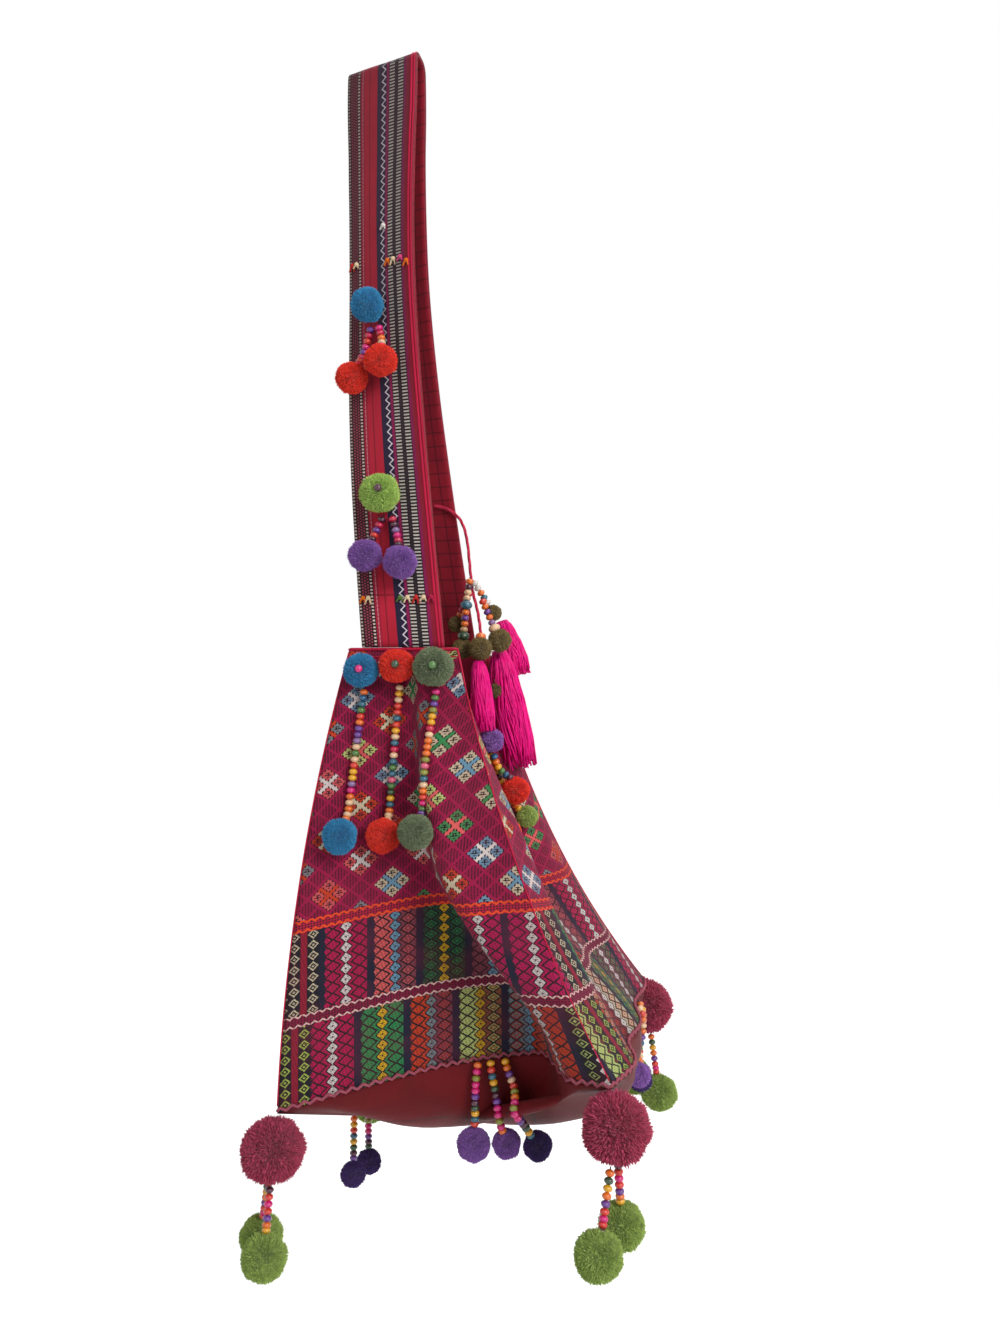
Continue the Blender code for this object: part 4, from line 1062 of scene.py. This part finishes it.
# %% Knots of yarn
KNOT_DYES = {"white": "#E8E0D8", "orange": "#E8701C", "cream": "#E8D0A8", "pink": "#D84A80",
             "red": "#C82A28", "green": "#5A7A3A", "crimson": "#B01E48"}
KNOTS = (  # across the strap and up from the rim in millimetres, colour
    (43.5, 388, "white"), (48, 352, "orange"), (55, 354, "cream"), (63, 351, "pink"), (70, 349, "orange"),
    (5, 358, "red"), (10, 356, "cream"), (5, 44, "orange"), (10, 43, "cream"), (40, 44, "green"),
    (47, 43, "cream"), (55, 43, "red"), (62, 44, "cream"), (69, 43, "crimson"),
)
KNOT_RADIUS, KNOT_LIFT, TAIL_RADIUS, TAIL_SPREAD = 0.0022, 0.0012, 0.0009, 0.0028
for label in ("near", "far"):
    bm = new_dyed()
    for number, (across, height, colour) in enumerate(KNOTS):
        distance = height / 1000 if label == "near" else LENGTHS[-1] - height / 1000
        index = int(np.searchsorted(LENGTHS, distance))
        offset = across / 1000 - STRAP_WIDTH / 2
        middle = on_band(index, offset, BAND_THICKNESS / 2 + KNOT_LIFT)
        made = bmesh.ops.create_icosphere(bm, subdivisions=2, radius=KNOT_RADIUS)["verts"]
        bmesh.ops.translate(bm, verts=made, vec=middle)
        dye = linear(KNOT_DYES[colour])
        paint_verts(bm, made, dye)
        for tail in (-1, 1):
            end = on_band(index, offset + tail * TAIL_SPREAD, BAND_THICKNESS / 2 + KNOT_RADIUS)
            drop = Vector((0, 0, -0.004 - 0.001 * (number % 3)))
            tube(bm, [middle, middle.lerp(end, 0.6) + drop * 0.3, end + drop], TAIL_RADIUS, dye,
                 sides=5)
    add_piece(f"{label}_strap_knots", bm, ["yarn"])

# %% [markdown]
# ## Tassels and the tie cord
# A tassel is a dense hank of fine silk strands, gathered at its top. The tie cord drapes from the lining
# of the far half of the strap over the front of the mouth.

# %% Tassels
TASSELS = {
    "tie_middle_tassel": ((-0.0050, -0.0907, -0.5571), (-0.0070, -0.0967, -0.6181), 0.0105),
    "tie_right_tassel": ((0.0670, -0.0959, -0.5175), (0.0670, -0.1129, -0.5690), 0.0140),
    "tie_long_tassel": ((0.0390, -0.0997, -0.5465), (0.0400, -0.1201, -0.6537), 0.0170),
}
STRANDS, STRAND_STEPS, GOLDEN_ANGLE = 420, 9, 2.39996
TASSEL_PROFILE = ((0.0, 0.35), (0.08, 0.60), (0.25, 0.78), (0.50, 0.92), (0.80, 1.0), (1.0, 0.92))


def width_at(share):
    """The tassel's half width at a share of its length."""
    for (a, low), (b, high) in zip(TASSEL_PROFILE, TASSEL_PROFILE[1:]):
        if share <= b:
            return low + (high - low) * smooth_step((share - a) / (b - a))
    return TASSEL_PROFILE[-1][1]


def silk_tassel(name, top, foot, radius):
    """Strands of silk from the knot to the ragged foot."""
    chance = random.Random(name)
    top, foot = Vector(top), Vector(foot)
    along = foot - top
    across = along.cross(Vector((0, 1, 0))).normalized()
    other = along.normalized().cross(across)
    bm = new_dyed()
    dye = linear(YARNS["magenta"])
    for index in range(STRANDS):
        angle = index * GOLDEN_ANGLE
        depth = chance.uniform(0.72, 1.0) if index % 3 else chance.uniform(0.3, 0.7)
        sway, turn = chance.uniform(-0.25, 0.25), chance.uniform(0, 6.28)
        last = chance.uniform(0.80, 1.06)
        points = []
        for step in range(STRAND_STEPS + 1):
            share = step / STRAND_STEPS * last
            spoke = spoke_at(across, other, angle + sway * share + 0.16 * math.sin(8 * share + turn))
            points.append(top + along * share + spoke * (radius * width_at(min(share, 1)) * depth))
        shade = chance.uniform(0.8, 1.15)
        tube(bm, points, chance.uniform(0.0006, 0.0010), (*(shade * c for c in dye[:3]), 1), sides=4)
    add_piece(f"silk_{name}", bm, ["silk"], [name])


for name, values in TASSELS.items():
    silk_tassel(name, *values)

# %% Tie cord
TIE_ROUTE = [RIM_CENTRE + Vector(point) for point in (
    (0.0371, -0.0010, 0.1400), (0.0366, -0.0140, 0.1365), (0.0362, -0.0260, 0.1270),
    (0.0320, -0.0330, 0.1140), (0.0275, -0.0370, 0.0994), (0.0230, -0.0405, 0.0770),
    (0.0192, -0.0440, 0.0554), (0.0110, -0.0512, 0.0340), (0.0025, -0.0564, 0.0132),
)]
CORD_DIAMETER, CORD_DYE = 0.0030, "#C81E48"


def twisted_cord(route, radius, dye, strands=3):
    """A cord of strands laid round each other, as one mesh."""
    bm = new_dyed()
    for strand in range(strands):
        points = []
        for index, (point, distance) in enumerate(zip(route, distances(route))):
            angle = distance / (radius * 4.2) + 2 * math.pi * strand / strands
            points.append(point + spoke_at(*square_to(route, index), angle) * radius * 0.5)
        tube(bm, points, radius * 0.56, linear(dye), sides=6)
    return bm


tie_points = smooth_route(TIE_ROUTE, 14)
tie_length = distances(tie_points)[-1]
tie = add_piece("tie_twist", twisted_cord(tie_points, CORD_DIAMETER / 2, CORD_DYE), ["thread"],
                ["tie_cord"])
print("tie cord", round(tie_length, 3), "m")

bm = new_dyed()
bead(bm, tie_points[-1] - Vector((0.0012, 0, 0.0022)), Vector((0, 0, 1)), "o", 1.35)
add_piece("tie_cap", bm, ["wood", "wood"])

# %% [markdown]
# Behind the two strings of the tie hang shorter ones with smaller olive pompoms.

# %% Short strings of the tie
SHORT_STRINGS = (  # top and low end of each string, radius of its pompom, beads
    ((0.0190, -0.0790, -0.4800), (0.0270, -0.0975, -0.5110), 0.0080, "hhot"),
    ((0.0170, -0.0765, -0.4900), (0.0240, -0.0620, -0.5215), 0.0085, "koc"),
    ((0.0380, -0.1010, -0.5400), (0.0300, -0.1000, -0.5850), 0.0080, "oyop"),
)
declared = 1  # the tie cord
for number, (top, low, radius, letters) in enumerate(SHORT_STRINGS):
    bm = new_dyed()
    route = smooth_route([Vector(top), Vector(low)], 8)
    thread_beads(bm, route, 0.001, distances(route)[-1] - radius * 0.8, letters)
    yarn_ball(bm, Vector(low), radius, "olive", 4, f"short {number}")
    ball = add_piece(f"short_string_{number + 1}", bm, ["yarn", "wood"])
    declared += hang_thread(f"short_thread_{number + 1}", route)

# %% [markdown]
# Each string of beads hangs on its own thread. A thread of 30 mm or more is counted as a cord.

# %% Threads
for name, (_, _, route, _, thing) in made_balls.items():
    if route:
        declared += hang_thread(f"thread_{name}", route, body_of(name))
print(declared, "cords declared")

# %% [markdown]
# ## Stage and light

# %% Stage and light
FLOOR_HEIGHT, FLOOR_HALF, FLOOR_GLOW, SKY_LIGHT = -1.45, 40, 0.65, 0.32
BAG_MIDDLE = Vector((0.0, -0.08, -0.75))
LAMPS = (((-1.3, -1.7, 0.4), 42, 1.1), ((-2.0, 0.9, 0.1), 6, 1.4), ((0.6, -0.6, 1.6), 24, 1.4))


def seen_glow(tree, seen, always):
    """A strength that is higher for what the camera sees than for the light that falls on the bag."""
    rays = add_node(tree, "ShaderNodeLightPath").outputs
    return work_out(tree, {}, [
        ("glow", "MAXIMUM", rays["Is Camera Ray"], rays["Is Transmission Ray"]),
        ("glow", "MAXIMUM", "glow", rays["Is Glossy Ray"]), ("glow", "MULTIPLY_ADD", "glow", seen, always),
    ])["glow"]


bm = bmesh.new()
bmesh.ops.create_grid(bm, x_segments=1, y_segments=1, size=FLOOR_HALF)
bmesh.ops.translate(bm, verts=bm.verts, vec=(0, 0, FLOOR_HEIGHT))
mesh = bpy.data.meshes.new("floor")
bm.to_mesh(mesh)
bm.free()
pale, tree, shader = new_material("pale floor", 0.9, Base_Color=(0.95, 0.95, 0.95, 1),
                                  Emission_Color=(1, 1, 1, 1))
tree.links.new(seen_glow(tree, FLOOR_GLOW, 0.0), shader.inputs["Emission Strength"])
mesh.materials.append(pale)
floor = bpy.data.objects.new("floor", mesh)
scene.collection.objects.link(floor)

for place, watts, size in LAMPS:
    lamp = bpy.data.objects.new("soft_light", bpy.data.lights.new("soft_light", "AREA"))
    lamp.data.energy, lamp.data.size = watts, size
    lamp.location = place
    lamp.rotation_euler = (BAG_MIDDLE - Vector(place)).to_track_quat("-Z", "Y").to_euler()
    scene.collection.objects.link(lamp)

world = bpy.data.worlds.new("white studio")
world.use_nodes = True
scene.world = world
tree = world.node_tree
background = tree.nodes["Background"].inputs
background["Color"].default_value = (1, 1, 1, 1)
tree.links.new(seen_glow(tree, 1 - SKY_LIGHT, SKY_LIGHT), background["Strength"])
scene.view_settings.view_transform = "Standard"
